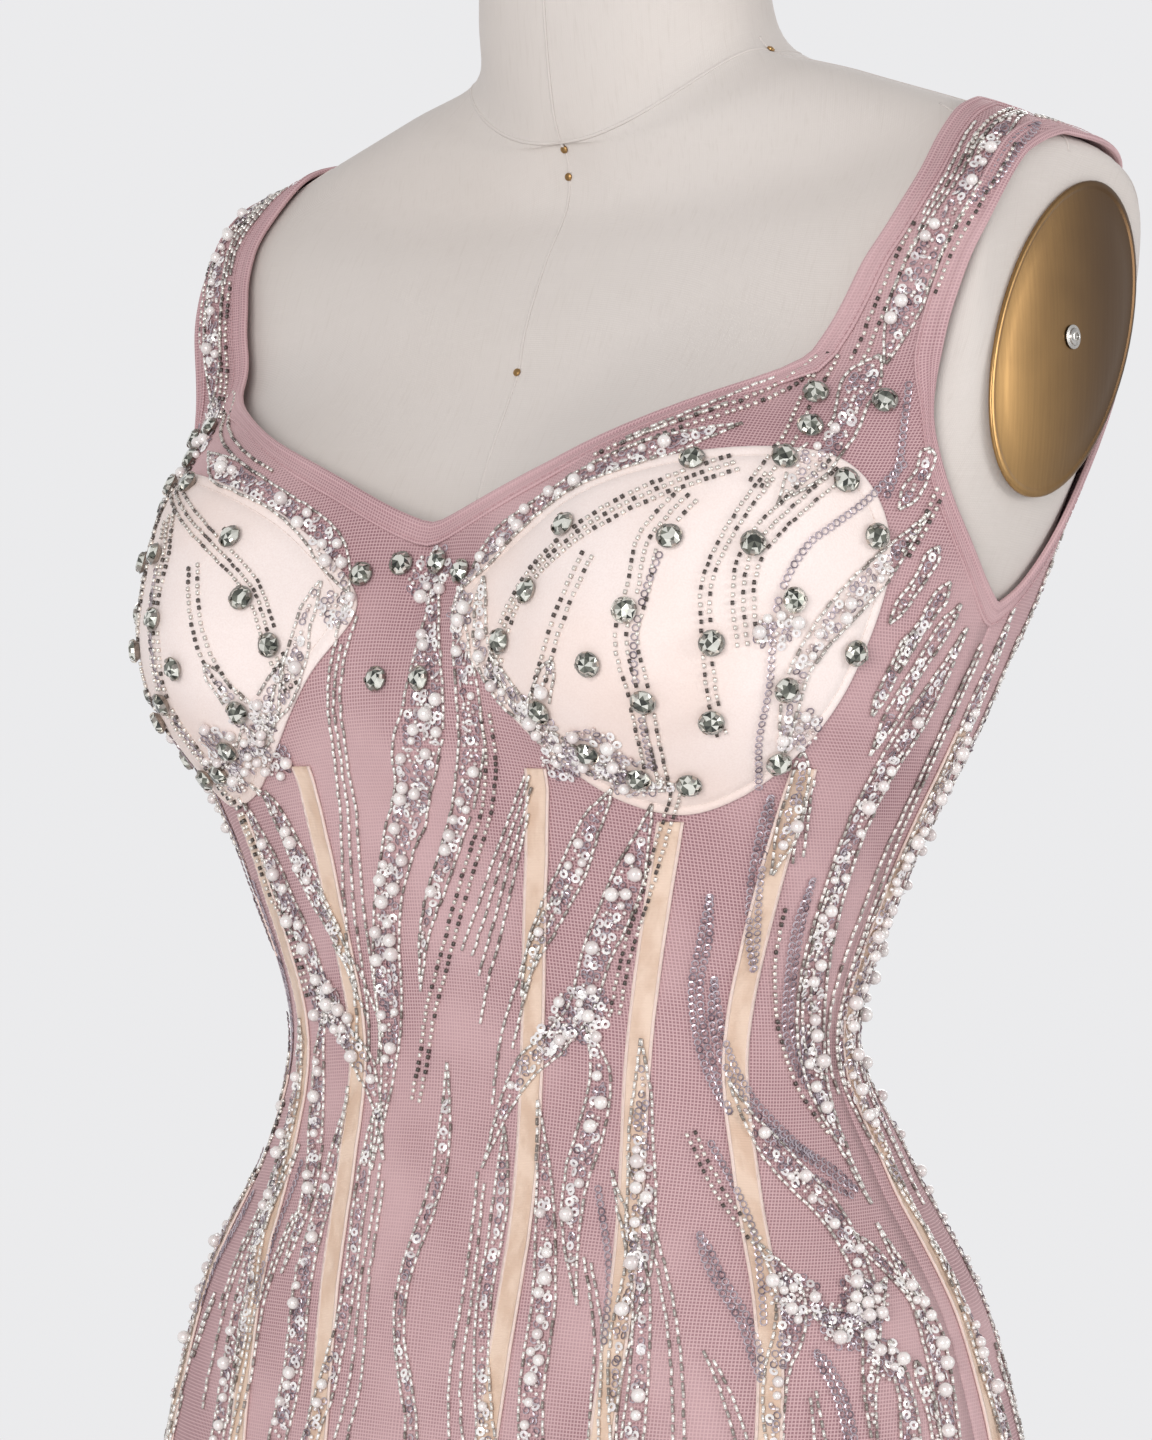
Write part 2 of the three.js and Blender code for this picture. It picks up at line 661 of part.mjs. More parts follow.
// A square's rings run outwards into the outline, so that the cup is one even grid of cells.
function cupGrid() {
  const half = CUP_CELLS / 2;
  const start = 1 / 8;
  const lines = [];
  for (let i = -half; i <= half; i += 1) {
    const line = [];
    for (let j = -half; j <= half; j += 1) {
      const ring = Math.max(Math.abs(i), Math.abs(j));
      const turn = ring === 0 ? 0 : squareTurn(i / ring, j / ring);
      const rim = outlinePoint((turn + start + 1) % 1);
      const share = ring / half;
      const angle = THREE.MathUtils.lerp(CUP_MIDDLE.angle, rim.angle, share);
      const height = THREE.MathUtils.lerp(CUP_MIDDLE.height, rim.height, share);
      line.push({ ...spot(angle, height), rim: share });
    }
    lines.push(line);
  }
  return lines;
}

// The share of the way round a square, anticlockwise from its lower left corner.
function squareTurn(x, y) {
  if (y === -1 && x < 1) {
    return (x + 1) / 8;
  }
  if (x === 1 && y < 1) {
    return (y + 3) / 8;
  }
  if (y === 1 && x > -1) {
    return (5 - x) / 8;
  }
  return (7 - y) / 8;
}

function cupStone(i, j) {
  const rows = Math.floor(j / CUP_STONE_STEP);
  const staggered = rows % 2 === 0 ? 1 : 2;
  return j % CUP_STONE_STEP === 1 && (i + staggered) % CUP_STONE_STEP === 0 ? 1 : 0;
}

function addCup(name, turned, stoneAt) {
  const sheet = new Sheet();
  sheet.grid(turned(cupGrid()), stoneAt);
  const loft = (place) => CUP_EDGE + CUP_LOFT * (1 - place.rim ** 4);
  const outer = (place) => clothPoint(place, WALL + CUP_GAP + loft(place));
  const inner = (place) => clothPoint(place, WALL + CUP_GAP);
  addPiece(name, wallGeometry(sheet, outer, inner), 'cup');
}

// ---------- the zip ----------
function addZip() {
  const lines = BACK.slice(-2);
  const foot = LOWER_LEVELS.indexOf(ZIP_FOOT);
  const rows = lines.map((line) => line.slice(foot));
  const centre = rows[1].map((place) => ({ level: place.level, angle: 180 }));
  const sheet = new Sheet();
  sheet.grid([rows[0], centre]);
  const farSide = rows[0].map((place) => ({ level: place.level, angle: 360 - place.angle }));
  sheet.grid([centre, farSide]);
  addWall('zip_tape', sheet, 'nylon', -LAID_ON - TRIM, TRIM);
}

function sliderFrame() {
  const band = BACK[BACK.length - 1][TOP_ROW - 1];
  const height = bodyPoint(band.level, band.angle).z - WAIST_Z - SLIDER.below;
  const place = spot(180, height);
  const normal = bodyNormal(place.level, 180);
  const across = new THREE.Vector3(-1, 0, 0);
  const up = normal.clone().cross(across);
  const frame = new THREE.Matrix4().makeBasis(across, up, normal);
  frame.setPosition(clothPoint(place, WALL + LAID_ON));
  return frame;
}

function manifoldOf(geometry) {
  const bare = geometry.clone();
  bare.deleteAttribute('normal');
  bare.deleteAttribute('uv');
  const merged = mergeVertices(bare, 1e-4);
  return new wasm.Manifold(new wasm.Mesh({
    numProp: 3,
    vertProperties: merged.attributes.position.array,
    triVerts: merged.index.array,
  }));
}

function joined(first, second) {
  const { vertProperties, triVerts } = manifoldOf(first).add(manifoldOf(second)).getMesh();
  const geometry = new THREE.BufferGeometry();
  geometry.setAttribute('position', new THREE.BufferAttribute(vertProperties, 3));
  geometry.setIndex(new THREE.BufferAttribute(triVerts, 1));
  const plain = geometry.toNonIndexed();
  plain.computeVertexNormals();
  return plain;
}

// Both zip pieces lie in the slider's own frame: x across the back, y up it and z away from the cloth.
function addSlider(frame) {
  const body = new THREE.BoxGeometry(SLIDER.width, SLIDER.length, SLIDER.thick);
  body.translate(0, 0, SLIDER.thick / 2);
  const outline = new THREE.Shape();
  outline.moveTo(-SLIDER.lugRadius, SLIDER.thick - 0.3);
  outline.lineTo(SLIDER.lugRadius, SLIDER.thick - 0.3);
  outline.lineTo(SLIDER.lugRadius, SLIDER.axis);
  outline.absarc(0, SLIDER.axis, SLIDER.lugRadius, 0, Math.PI, false);
  const made = { depth: SLIDER.lugWidth, bevelEnabled: false, curveSegments: 8 };
  const lug = new THREE.ExtrudeGeometry(outline, made);
  lug.rotateY(Math.PI / 2);
  lug.rotateX(Math.PI / 2);
  lug.translate(-SLIDER.lugWidth / 2, 0, 0);
  addPiece('zip_slider', joined(body, lug), 'brass').applyMatrix4(frame);
}

function addPull(frame) {
  const { length, width, thick, heel } = PULL;
  const slot = SLIDER.lugWidth / 2 + SEAM_GAP;
  const outline = new THREE.Shape();
  outline.moveTo(slot, heel);
  outline.lineTo(slot, -SLIDER.lugRadius - SEAM_GAP);
  outline.lineTo(-slot, -SLIDER.lugRadius - SEAM_GAP);
  outline.lineTo(-slot, heel);
  outline.lineTo(-width / 2, heel);
  outline.lineTo(-width / 2, -length + width / 2);
  outline.absarc(0, -length + width / 2, width / 2, Math.PI, 2 * Math.PI, false);
  outline.lineTo(width / 2, heel);
  const pull = new THREE.ExtrudeGeometry(outline, { depth: thick, bevelEnabled: false, curveSegments: 6 });
  pull.translate(0, 0, SLIDER.axis - thick / 2);
  addPiece('zip_pull', pull, 'brass').applyMatrix4(frame);
}

// ---------- the dress form and its stand ----------
function closedRings(rings) {
  const points = rings.flat();
  const faces = [];
  const around = rings[0].length;
  for (let r = 0; r + 1 < rings.length; r += 1) {
    for (let k = 0; k < around; k += 1) {
      const n = (k + 1) % around;
      faces.push([r * around + k, r * around + n, (r + 1) * around + n]);
      faces.push([r * around + k, (r + 1) * around + n, (r + 1) * around + k]);
    }
  }
  const ends = [[0, true], [rings.length - 1, false]];
  for (const [r, flipped] of ends) {
    const middle = rings[r].reduce((sum, point) => sum.add(point), new THREE.Vector3()).divideScalar(around);
    points.push(middle);
    for (let k = 0; k < around; k += 1) {
      const here = r * around + k;
      const next = r * around + ((k + 1) % around);
      faces.push(flipped ? [points.length - 1, next, here] : [points.length - 1, here, next]);
    }
  }
  return facetedGeometry(points, faces);
}

function formPoint(level, angle) {
  const point = bodyPoint(level, angle, false);
  const covered = ease(FORM_BARE.bare, FORM_BARE.covered, point.z - WAIST_Z);
  return point.addScaledVector(bodyNormal(level, angle, false), -FORM_INSET * covered);
}

function addForm() {
  const angles = Array.from({ length: FORM_SIDES }, (_, k) => (360 * k) / FORM_SIDES);
  const rings = FORM_LEVELS.map((level) => angles.map((angle) => formPoint(level, angle)));
  addPiece('form_body', closedRings(rings), 'linen');
}

function armFrame(side) {
  const normal = new THREE.Vector3(side, ARM_PLANE.leanY, ARM_PLANE.leanZ).normalize();
  const tilt = THREE.MathUtils.degToRad(PLATE.lean);
  const long = new THREE.Vector3(0, Math.sin(tilt), Math.cos(tilt));
  long.addScaledVector(normal, -long.dot(normal)).normalize();
  const short = long.clone().cross(normal);
  const frame = new THREE.Matrix4().makeBasis(short, long, normal);
  const seat = armLimit(PLATE.y, PLATE.z) - FORM_INSET;
  const middle = new THREE.Vector3(side * seat, PLATE.y, WAIST_Z + PLATE.z);
  frame.setPosition(middle.addScaledVector(normal, LAID_ON));
  return frame;
}

function discGeometry(profile, sides) {
  const geometry = new THREE.LatheGeometry(profile.map(([r, h]) => new THREE.Vector2(r, h)), sides);
  geometry.rotateX(Math.PI / 2);
  return geometry;
}

function addArmPlate(name, side) {
  const { thick, dome } = PLATE;
  const plate = discGeometry([[0, 0], [1, 0], [1, thick], [0.7, thick + dome * 0.6], [0, thick + dome]], 32);
  plate.scale(PLATE.short, PLATE.long, 1);
  addPiece(name, plate, 'brass').applyMatrix4(armFrame(side));
}

function addPlateScrew(name, side) {
  const { radius, height } = PLATE_SCREW;
  const head = discGeometry([[0, 0], [radius, 0], [radius, height * 0.4], [0, height]], 12);
  head.translate(0, 0, PLATE.thick + PLATE.dome + LAID_ON);
  addPiece(name, head, 'steel').applyMatrix4(armFrame(side));
}

function addStand() {
  const formFoot = bodyPoint(FORM_LEVELS[0], 0).z;
  const length = formFoot - BASE.hubHeight - 2 * LAID_ON;
  const pole = new THREE.CylinderGeometry(POLE_RADIUS, POLE_RADIUS, length, 24);
  pole.rotateX(Math.PI / 2);
  pole.translate(0, 0, (formFoot + BASE.hubHeight) / 2);
  addPiece('stand_pole', pole, 'darkIron');
  const profile = [
    [0, 0], [BASE.radius, 0], [BASE.radius, BASE.rim],
    [BASE.collar, BASE.dome], [BASE.hub, BASE.hubHeight], [0, BASE.hubHeight],
  ];
  addPiece('stand_base', discGeometry(profile, 36), 'darkIron');
}

// ---------- the whole ----------
const asLeft = (grid) => grid;
addFront();
addBack('back_panel_left', asLeft);
addBack('back_panel_right', mirrorGrid);
addCup('cup_left', asLeft, cupStone);
addCup('cup_right', mirrorGrid, (i, j) => cupStone(CUP_CELLS - 1 - i, j));
addChannels('left', asLeft);
addChannels('right', mirrorGrid);
addNeckBinding();
addArmholeBinding('armhole_binding_left', asLeft);
addArmholeBinding('armhole_binding_right', mirrorPairs);
addZip();
const zipFrame = sliderFrame();
addSlider(zipFrame);
addPull(zipFrame);
addForm();
addArmPlate('arm_plate_left', 1);
addArmPlate('arm_plate_right', -1);
addPlateScrew('plate_screw_left', 1);
addPlateScrew('plate_screw_right', -1);
addStand();

export default dress;
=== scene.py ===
# %% [markdown]
# # A beaded mini dress on a dress form
# The dress is a bodycon mini in dusty pink stretch mesh. It has two padded cups, tan boning channels and a turned
# band along its neckline and armholes. Crystals, pearls, glass tubes and sequins flow over it in tapered streams.
# A linen-covered dress form with brass arm plates fills it out, and stands on a pole with a round base.
#
# The construction is already done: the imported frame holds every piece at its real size. This lesson dresses it.

# %% The frame
import json
import math

import bpy
import numpy as np
from mathutils import Matrix, Vector

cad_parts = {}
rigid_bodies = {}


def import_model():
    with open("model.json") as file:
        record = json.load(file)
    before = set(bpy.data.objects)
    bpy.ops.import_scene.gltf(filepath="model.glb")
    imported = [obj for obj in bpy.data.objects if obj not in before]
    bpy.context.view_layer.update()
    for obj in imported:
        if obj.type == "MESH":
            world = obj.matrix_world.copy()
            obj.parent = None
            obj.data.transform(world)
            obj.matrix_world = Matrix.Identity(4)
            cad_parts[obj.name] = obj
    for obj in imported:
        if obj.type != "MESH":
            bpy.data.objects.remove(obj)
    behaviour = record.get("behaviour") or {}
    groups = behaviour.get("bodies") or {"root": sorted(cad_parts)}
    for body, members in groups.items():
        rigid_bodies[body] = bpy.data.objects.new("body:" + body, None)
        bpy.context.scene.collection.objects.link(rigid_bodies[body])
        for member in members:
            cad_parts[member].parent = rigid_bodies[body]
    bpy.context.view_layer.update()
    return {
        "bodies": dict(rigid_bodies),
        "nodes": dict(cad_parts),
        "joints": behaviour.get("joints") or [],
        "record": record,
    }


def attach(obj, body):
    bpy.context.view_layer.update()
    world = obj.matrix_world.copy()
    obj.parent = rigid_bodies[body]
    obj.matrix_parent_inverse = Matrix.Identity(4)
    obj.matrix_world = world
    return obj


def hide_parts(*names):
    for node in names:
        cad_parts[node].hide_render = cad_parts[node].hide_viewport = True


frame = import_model()
BODY = "dress_and_form"
MM = 0.001

# %% [markdown]
# ## The figure under the cloth
# A dress pattern is cut for a figure, so the scene needs the same figure as the frame: twenty rings from the hem to
# the top of the neck, each an oval that is squarer at the hips and rounder at the neck. A soft swelling makes each
# side of the bust. It could be sculpted by hand, but rings worked out from measures keep the cloth, the trims and
# every bead on one surface. Lengths are in millimetres here, because a dressmaker measures in them.

# %% The figure's rings
WAIST_Z = 880
RING_COLUMNS = ("side", "front_drop", "back_drop", "half", "front", "back", "front_power", "back_power", "middle")
RINGS = {
    "hem": (-420, 0, 0, 154, 102, 111, 2.4, 2.2, 0),
    "base": (-350, 0, 0, 160, 104, 118, 2.4, 2.2, 0),
    "thigh": (-290, 0, 0, 169, 107, 124, 2.5, 2.2, 2),
    "hip": (-200, 0, 0, 181, 113, 130, 2.5, 2.3, 4),
    "high hip": (-110, 0, 0, 162, 104, 110, 2.5, 2.3, 7),
    "belly": (-50, 0, 0, 129, 92, 91, 2.5, 2.3, 7),
    "waist": (0, 0, 0, 116, 80, 75, 2.4, 2.2, 0),
    "ribs": (60, 0, 0, 136, 88, 83, 2.5, 2.2, 0),
    "under bust": (115, 0, 0, 163, 94, 100, 2.6, 2.3, 1),
    "bust": (165, 0, 0, 179, 86, 104, 2.5, 2.4, 14),
    "chest": (210, 0, 0, 193, 83, 96, 2.6, 2.6, 26),
    "arm pit": (250, -10, -6, 207, 79, 84, 2.7, 2.9, 37),
    "shoulder ball": (290, -18, -8, 220, 73, 84, 2.8, 3.0, 43),
    "shoulder cap": (320.5, -26, -8, 215, 64, 84, 2.8, 2.8, 45),
    "slope": (341.5, -26, 0, 166, 52, 79, 2.6, 2.4, 45),
    "yoke": (362, -27, 6, 106, 48, 71, 2.4, 2.2, 39),
    "neck base": (376, -36, 10, 67, 43, 64, 2.0, 2.0, 31),
    "low neck": (402, -30, 8, 60, 45, 55, 2.0, 2.0, 27),
    "neck": (440, -16, 4, 58, 49, 49, 2.0, 2.0, 26),
    "neck top": (470, 0, 0, 58, 52, 46, 2.0, 2.0, 27),
}
RING_TABLE = np.array(list(RINGS.values()), float)
COLUMN = {name: k for k, name in enumerate(RING_COLUMNS)}
TOP_LEVEL = len(RING_TABLE) - 1
BUST = {"x": 96, "height": 166, "forward": 45, "across": 107, "above": 108, "below": 80, "outward": 0.12}
BRIDGE = {"off": 17, "half_width": 62}
ARM_PLANE = {"x": 191.5, "y": 52, "z": 258, "lean_y": -0.05, "lean_z": 0, "rounding": 0.24}
FORM_BUST = 0.9
FORM_INSET = 1.1
FORM_BARE = (328, 349)


def curve_through(rows, at):
    """A smooth curve through the rows of a table, read at any number of places along it."""
    last = len(rows) - 1
    at = np.clip(np.asarray(at, float), 0, last - 1e-9)
    i = np.floor(at).astype(int)
    u = (at - i)[..., None]
    a, b, c, d = (rows[np.clip(i + k, 0, last)] for k in (-1, 0, 1, 2))
    return 0.5 * (2 * b + (c - a) * u + (2 * a - 5 * b + 4 * c - d) * u**2 + (3 * b - a - 3 * c + d) * u**3)


def ease(start, end, value):
    """Rises smoothly from 0 at start to 1 at end, which may lie below start."""
    t = np.clip((value - start) / (end - start), 0, 1)
    return t * t * (3 - 2 * t)


def bust_share(height):
    rise = height - BUST["height"]
    return rise / np.where(rise > 0, BUST["above"], BUST["below"])


def bust_bulge(x, height, facing):
    away = ((np.abs(x) - BUST["x"]) / BUST["across"]) ** 2 + bust_share(height) ** 2
    return BUST["forward"] * np.maximum(0, 1 - away) ** 2 * facing


def cup_bridge(x, height):
    across = np.maximum(0, 1 - (x / BRIDGE["half_width"]) ** 2) ** 2
    return BRIDGE["off"] * across * np.maximum(0, 1 - bust_share(height) ** 2)


def arm_limit(y, height):
    plane = ARM_PLANE
    return plane["x"] - plane["lean_z"] * (height - plane["z"]) - plane["lean_y"] * (y - plane["y"])


def figure_point(level, angle, clothed=True):
    """A point on the figure: level counts the rings, angle is 0 at centre front and 90 at the wearer's left side."""
    level, angle = np.broadcast_arrays(np.asarray(level, float), np.asarray(angle, float))
    sine, cosine = np.sin(np.radians(angle)), np.cos(np.radians(angle))
    ring = curve_through(RING_TABLE, level)
    column = {name: ring[..., k] for name, k in COLUMN.items()}
    before = cosine > 0
    power = 2 / np.where(before, column["front_power"], column["back_power"])
    depth = np.where(before, -column["front"], column["back"])
    x = column["half"] * np.sign(sine) * np.abs(sine) ** power
    y = column["middle"] + depth * np.abs(cosine) ** power
    height = column["side"] + np.where(before, column["front_drop"], column["back_drop"]) * cosine**2
    facing = np.clip(cosine * 1.6, 0, 1)
    bulge = bust_bulge(x, height, facing) * (1 if clothed else FORM_BUST)
    y = y - bulge - (cup_bridge(x, height) * facing if clothed else 0)
    x = x + np.sign(x) * BUST["outward"] * bulge
    limit = arm_limit(y, height)
    rounding = ARM_PLANE["rounding"]
    x = np.sign(x) * (limit - np.logaddexp(0, rounding * (limit - np.abs(x))) / rounding)
    return np.stack([x, y, WAIST_Z + height], axis=-1)


def unit(vectors):
    return vectors / np.maximum(np.linalg.norm(vectors, axis=-1, keepdims=True), 1e-12)


def figure_normal(level, angle, clothed=True):
    level, angle = np.asarray(level, float), np.asarray(angle, float)
    around = figure_point(level, angle + 0.5, clothed) - figure_point(level, angle - 0.5, clothed)
    upward = figure_point(level + 0.02, angle, clothed) - figure_point(level - 0.02, angle, clothed)
    return unit(np.cross(around, upward))


def level_at(height, angle):
    """The ring level where the figure is at this height above the waist."""
    height, angle = np.broadcast_arrays(np.asarray(height, float), np.asarray(angle, float))
    low, high = np.zeros(height.shape), np.full(height.shape, float(TOP_LEVEL))
    for _ in range(40):
        middle = (low + high) / 2
        below = figure_point(middle, angle)[..., 2] - WAIST_Z < height
        low, high = np.where(below, middle, low), np.where(below, high, middle)
    return low


def spot(angle, height):
    """Places are pairs of level and angle. This one is given by its angle and its height from the waist."""
    return np.stack([level_at(height, angle), np.broadcast_to(angle, np.shape(height)) + 0.0], axis=-1)


waist_girth = np.linalg.norm(np.diff(figure_point(6, np.linspace(-180, 180, 361)), axis=0), axis=1).sum()
print("figure: waist", round(waist_girth), "mm round")

# %% [markdown]
# ## How the cloth lies on it
# Stretch mesh lies close to the figure, stands off it along the neckline and the strap fronts, and makes room for
# the zip's tape behind. Beaded mesh is heavy, so it also drags into a few long soft troughs between the boning.
# Those are listed, a row each, uneven in length and depth, and every trim and bead follows them because all
# of them read this one function.

# %% The cloth's surface
CLEAR = 0.8
WALL = 1.2
CHANNEL_LIFT = 1.2
STAND = {"off": 3.5, "begins": 165, "full": 215, "ebbs": 270, "ends": 322, "full_turn": 46, "end_turn": 74}
ZIP_ROOM = {"off": 1.4, "from": 166, "to": 173}
HEM = {"height": -420, "fold": 12, "lift": 0.5}
TROUGH_COLUMNS = ("angle", "height", "lean", "long", "wide", "deep")
TROUGHS = [
    (6, 20, -3, 95, 7, 0.55), (12, -75, 2, 70, 6, 0.45), (29, 45, -5, 60, 8, 0.5), (31, -60, 4, 85, 7, 0.6),
    (52, 35, -4, 75, 8, 0.6), (50, -95, 5, 60, 6, 0.4), (74, -25, 3, 80, 8, 0.35), (78, 85, -8, 50, 7, 0.35),
    (-7, -20, 4, 80, 7, 0.5), (-13, 60, 2, 55, 6, 0.4), (-30, -40, -4, 95, 8, 0.6), (-51, 20, 5, 65, 7, 0.55),
    (-54, -80, -4, 80, 7, 0.45), (-76, 10, -2, 90, 8, 0.6), (-82, 95, 7, 45, 7, 0.45), (113, -10, 4, 80, 9, 0.6),
    (132, 40, -4, 70, 9, 0.55), (151, -45, 3, 85, 8, 0.6), (166, 5, 0, 60, 7, 0.5), (-110, 20, -3, 75, 9, 0.6),
    (-129, -30, 5, 85, 9, 0.55), (-149, 30, -4, 65, 8, 0.5), (-165, -15, 1, 70, 7, 0.5), (121, -190, 3, 70, 9, 0.4),
    (-124, -215, -3, 80, 9, 0.4), (38, -235, 3, 75, 8, 0.4), (-41, -250, -3, 65, 8, 0.4),
]


def troughs(angle, height):
    """How far the cloth sinks where its own weight drags it into soft folds."""
    sunk = np.zeros(np.shape(height))
    for centre, middle, lean, long, wide, deep in TROUGHS:
        along = (height - middle) / long
        across = (angle - centre - lean * along) / wide
        sunk = sunk + deep * np.exp(-(across**2) * 2 - along**2 * 2)
    return sunk


def cloth_lift(level, angle):
    """The height of the cloth's inner face over the figure."""
    height = figure_point(level, angle)[..., 2] - WAIST_Z
    turn = np.abs(angle)
    standing = ease(STAND["begins"], STAND["full"], height) * ease(STAND["ends"], STAND["ebbs"], height)
    standing = standing * ease(STAND["end_turn"], STAND["full_turn"], turn)
    zip_room = ZIP_ROOM["off"] * ease(ZIP_ROOM["from"], ZIP_ROOM["to"], turn)
    fold = HEM["lift"] * ease(HEM["height"] + HEM["fold"] + 1, HEM["height"] + HEM["fold"] - 1, height)
    return CLEAR + STAND["off"] * standing + zip_room + fold - troughs(angle, height)


def cloth_point(places, lift=0.0):
    level, angle = places[..., 0], places[..., 1]
    away = (cloth_lift(level, angle) + lift)[..., None]
    return figure_point(level, angle) + figure_normal(level, angle) * away


print("cloth: deepest trough", max(row[-1] for row in TROUGHS), "mm in", len(TROUGHS), "folds")

# %% [markdown]
# ## Camera, floor and light
# The dress is seen from its front left at chest height, with a long lens, so that verticals stay upright. The floor
# is a plain pale disc and the light is that of a product studio: one large soft window of light from the front left,
# a weaker one from the right, and an even pale surround that fills the shadows.

# %% Camera
VIEW_TURN = math.radians(38)
VIEW_DISTANCE = 1.6
TARGET = Vector((0, 0, (WAIST_Z + 118) * MM))
LENS = 104.0


def add_camera():
    bpy.ops.object.select_all(action="DESELECT")
    away = Vector((math.sin(VIEW_TURN), -math.cos(VIEW_TURN), 0))
    bpy.ops.object.camera_add(location=TARGET + away * VIEW_DISTANCE, rotation=(math.pi / 2, 0, VIEW_TURN))
    camera = bpy.context.object
    camera.name = "studio_camera"
    camera.data.lens = LENS
    camera.data.sensor_width = 36.0
    camera.data.clip_start = 0.05
    bpy.context.scene.camera = camera
    return camera


camera = add_camera()
print("camera:", [round(x, 3) for x in camera.location], "lens", LENS)

# %% Floor and lights
FLOOR_RADIUS = 4.0


def add_floor():
    bpy.ops.mesh.primitive_circle_add(vertices=96, radius=FLOOR_RADIUS, fill_type="NGON", location=(0, 0, 0))
    floor = bpy.context.object
    floor.name = "studio_floor"
    return floor


def add_soft_light(name, turn, height, distance, size, power):
    """A square area light on a circle round the dress, aimed at its chest."""
    spin = math.radians(turn)
    place = Vector((math.sin(spin) * distance, -math.cos(spin) * distance, height))
    bpy.ops.object.light_add(type="AREA", location=place)
    light = bpy.context.object
    light.name = name
    light.data.size = size
    light.data.energy = power
    light.rotation_euler = (TARGET - place).to_track_quat("-Z", "Y").to_euler()
    return light


floor = add_floor()
bpy.context.scene.view_settings.view_transform = "Standard"
add_soft_light("window_light", 22, 1.3, 2.6, 1.3, 40)
add_soft_light("right_light", 108, 1.4, 2.8, 1.2, 21)
add_soft_light("back_light", 205, 1.9, 2.8, 1.6, 20)

# %% [markdown]
# ## Writing materials as sums
# A cloth's pattern is arithmetic on its thread positions, and wiring dozens of Math nodes by hand hides that. A small
# class wraps a socket, so that `1 - mask` or `u * 1200` adds the right node. Colours go through Mix nodes, because a
# Math node would turn them grey, and every other node comes from one method.

# %% The socket class


class Wire:
    """A socket of a finish, with arithmetic."""

    def __init__(self, finish, socket):
        self.finish, self.socket = finish, socket

    def maths(self, operation, *others):
        values = dict(enumerate((self, *others)))
        return self.finish.node("ShaderNodeMath", {"operation": operation}, values)

    def __add__(self, other):
        return self.maths("ADD", other)

    def __sub__(self, other):
        return self.maths("SUBTRACT", other)

    def __rsub__(self, other):
        return self.finish.node("ShaderNodeMath", {"operation": "SUBTRACT"}, {0: other, 1: self})

    def __mul__(self, other):
        return self.maths("MULTIPLY", other)

    def __truediv__(self, other):
        return self.maths("DIVIDE", other)

    def __pow__(self, other):
        return self.maths("POWER", other)

    __radd__ = __add__
    __rmul__ = __mul__

    def wave(self):
        """0 to 1 and back, once for each whole step of the value."""
        return self.maths("PINGPONG", 0.5) * 2

    def size(self):
        return self.maths("ABSOLUTE")

    def step(self, low, high):
        """Rises smoothly from 0 at low to 1 at high."""
        settings = {"interpolation_type": "SMOOTHSTEP"}
        ends = {"Value": self, "From Min": low, "From Max": high, "To Min": 0.0, "To Max": 1.0}
        return self.finish.node("ShaderNodeMapRange", settings, ends)


class Finish:
    """A material with one Principled shader, whose constants are set on its own sockets."""

    def __init__(self, name, **constants):
        self.material = bpy.data.materials.new(name)
        self.material.use_nodes = True
        self.tree = self.material.node_tree
        self.shader = self.tree.nodes["Principled BSDF"]
        for socket, value in constants.items():
            self.shader.inputs[socket.replace("_", " ").title()].default_value = value

    def node(self, kind, settings=None, inputs=None, output=0):
        node = self.tree.nodes.new(kind)
        for name, value in (settings or {}).items():
            setattr(node, name, value)
        for name, value in (inputs or {}).items():
            if isinstance(value, Wire):
                self.tree.links.new(value.socket, node.inputs[name])
            else:
                node.inputs[name].default_value = value
        return Wire(self, node.outputs[output])

    def mix(self, share, first, second):
        """A colour between two others."""
        settings = {"data_type": "RGBA"}
        as_colour = {6: first, 7: second}
        values = {0: share, **{k: v if isinstance(v, Wire) else (*v, 1.0) for k, v in as_colour.items()}}
        return self.node("ShaderNodeMix", settings, values, output=2)

    def noise(self, scale, detail=2.0, vector=None, roughness=0.5):
        inputs = {"Scale": scale, "Detail": detail, "Roughness": roughness}
        inputs["Vector"] = vector or self.place()
        return self.node("ShaderNodeTexNoise", {}, inputs)

    def place(self):
        return self.node("ShaderNodeTexCoord", {}, {}, output="Object")

    def stretch(self, vector, scale):
        return self.node("ShaderNodeMapping", {}, {"Vector": vector, "Scale": scale})

    def cloth_uv(self):
        """The cloth's own measures in metres: along the weft and along the warp."""
        vector = self.node("ShaderNodeUVMap", {"uv_map": "cloth"}, {})
        split = self.node("ShaderNodeSeparateXYZ", {}, {0: vector})
        node = split.socket.node
        return Wire(self, node.outputs[0]), Wire(self, node.outputs[1]), vector

    def attribute(self, name):
        return self.node("ShaderNodeAttribute", {"attribute_name": name}, {}, output="Fac")

    def feed(self, socket, wire):
        self.tree.links.new(wire.socket, self.shader.inputs[socket])
        return self

    def bump(self, height, distance, strength=1.0):
        inputs = {"Height": height, "Distance": distance, "Strength": strength}
        return self.feed("Normal", self.node("ShaderNodeBump", {}, inputs))


print("finishes: ready")

# %% [markdown]
# ## The studio's surround
# A photographer lights the wall behind the dress and leaves the rest of the room dimmer, so that the form keeps soft
# shade at its sides. The surround does the same: it is pale behind the dress and greyer above and before it.

# %% The surround
WALL_PALE, ROOM_GREY = (0.83, 0.83, 0.842), (0.48, 0.48, 0.49)


class Surround(Finish):
    """The world's light, written in the same way as a finish."""

    def __init__(self, name):
        world = bpy.data.worlds.new(name)
        world.use_nodes = True
        bpy.context.scene.world = world
        self.tree = world.node_tree
        self.shader = self.tree.nodes["Background"]


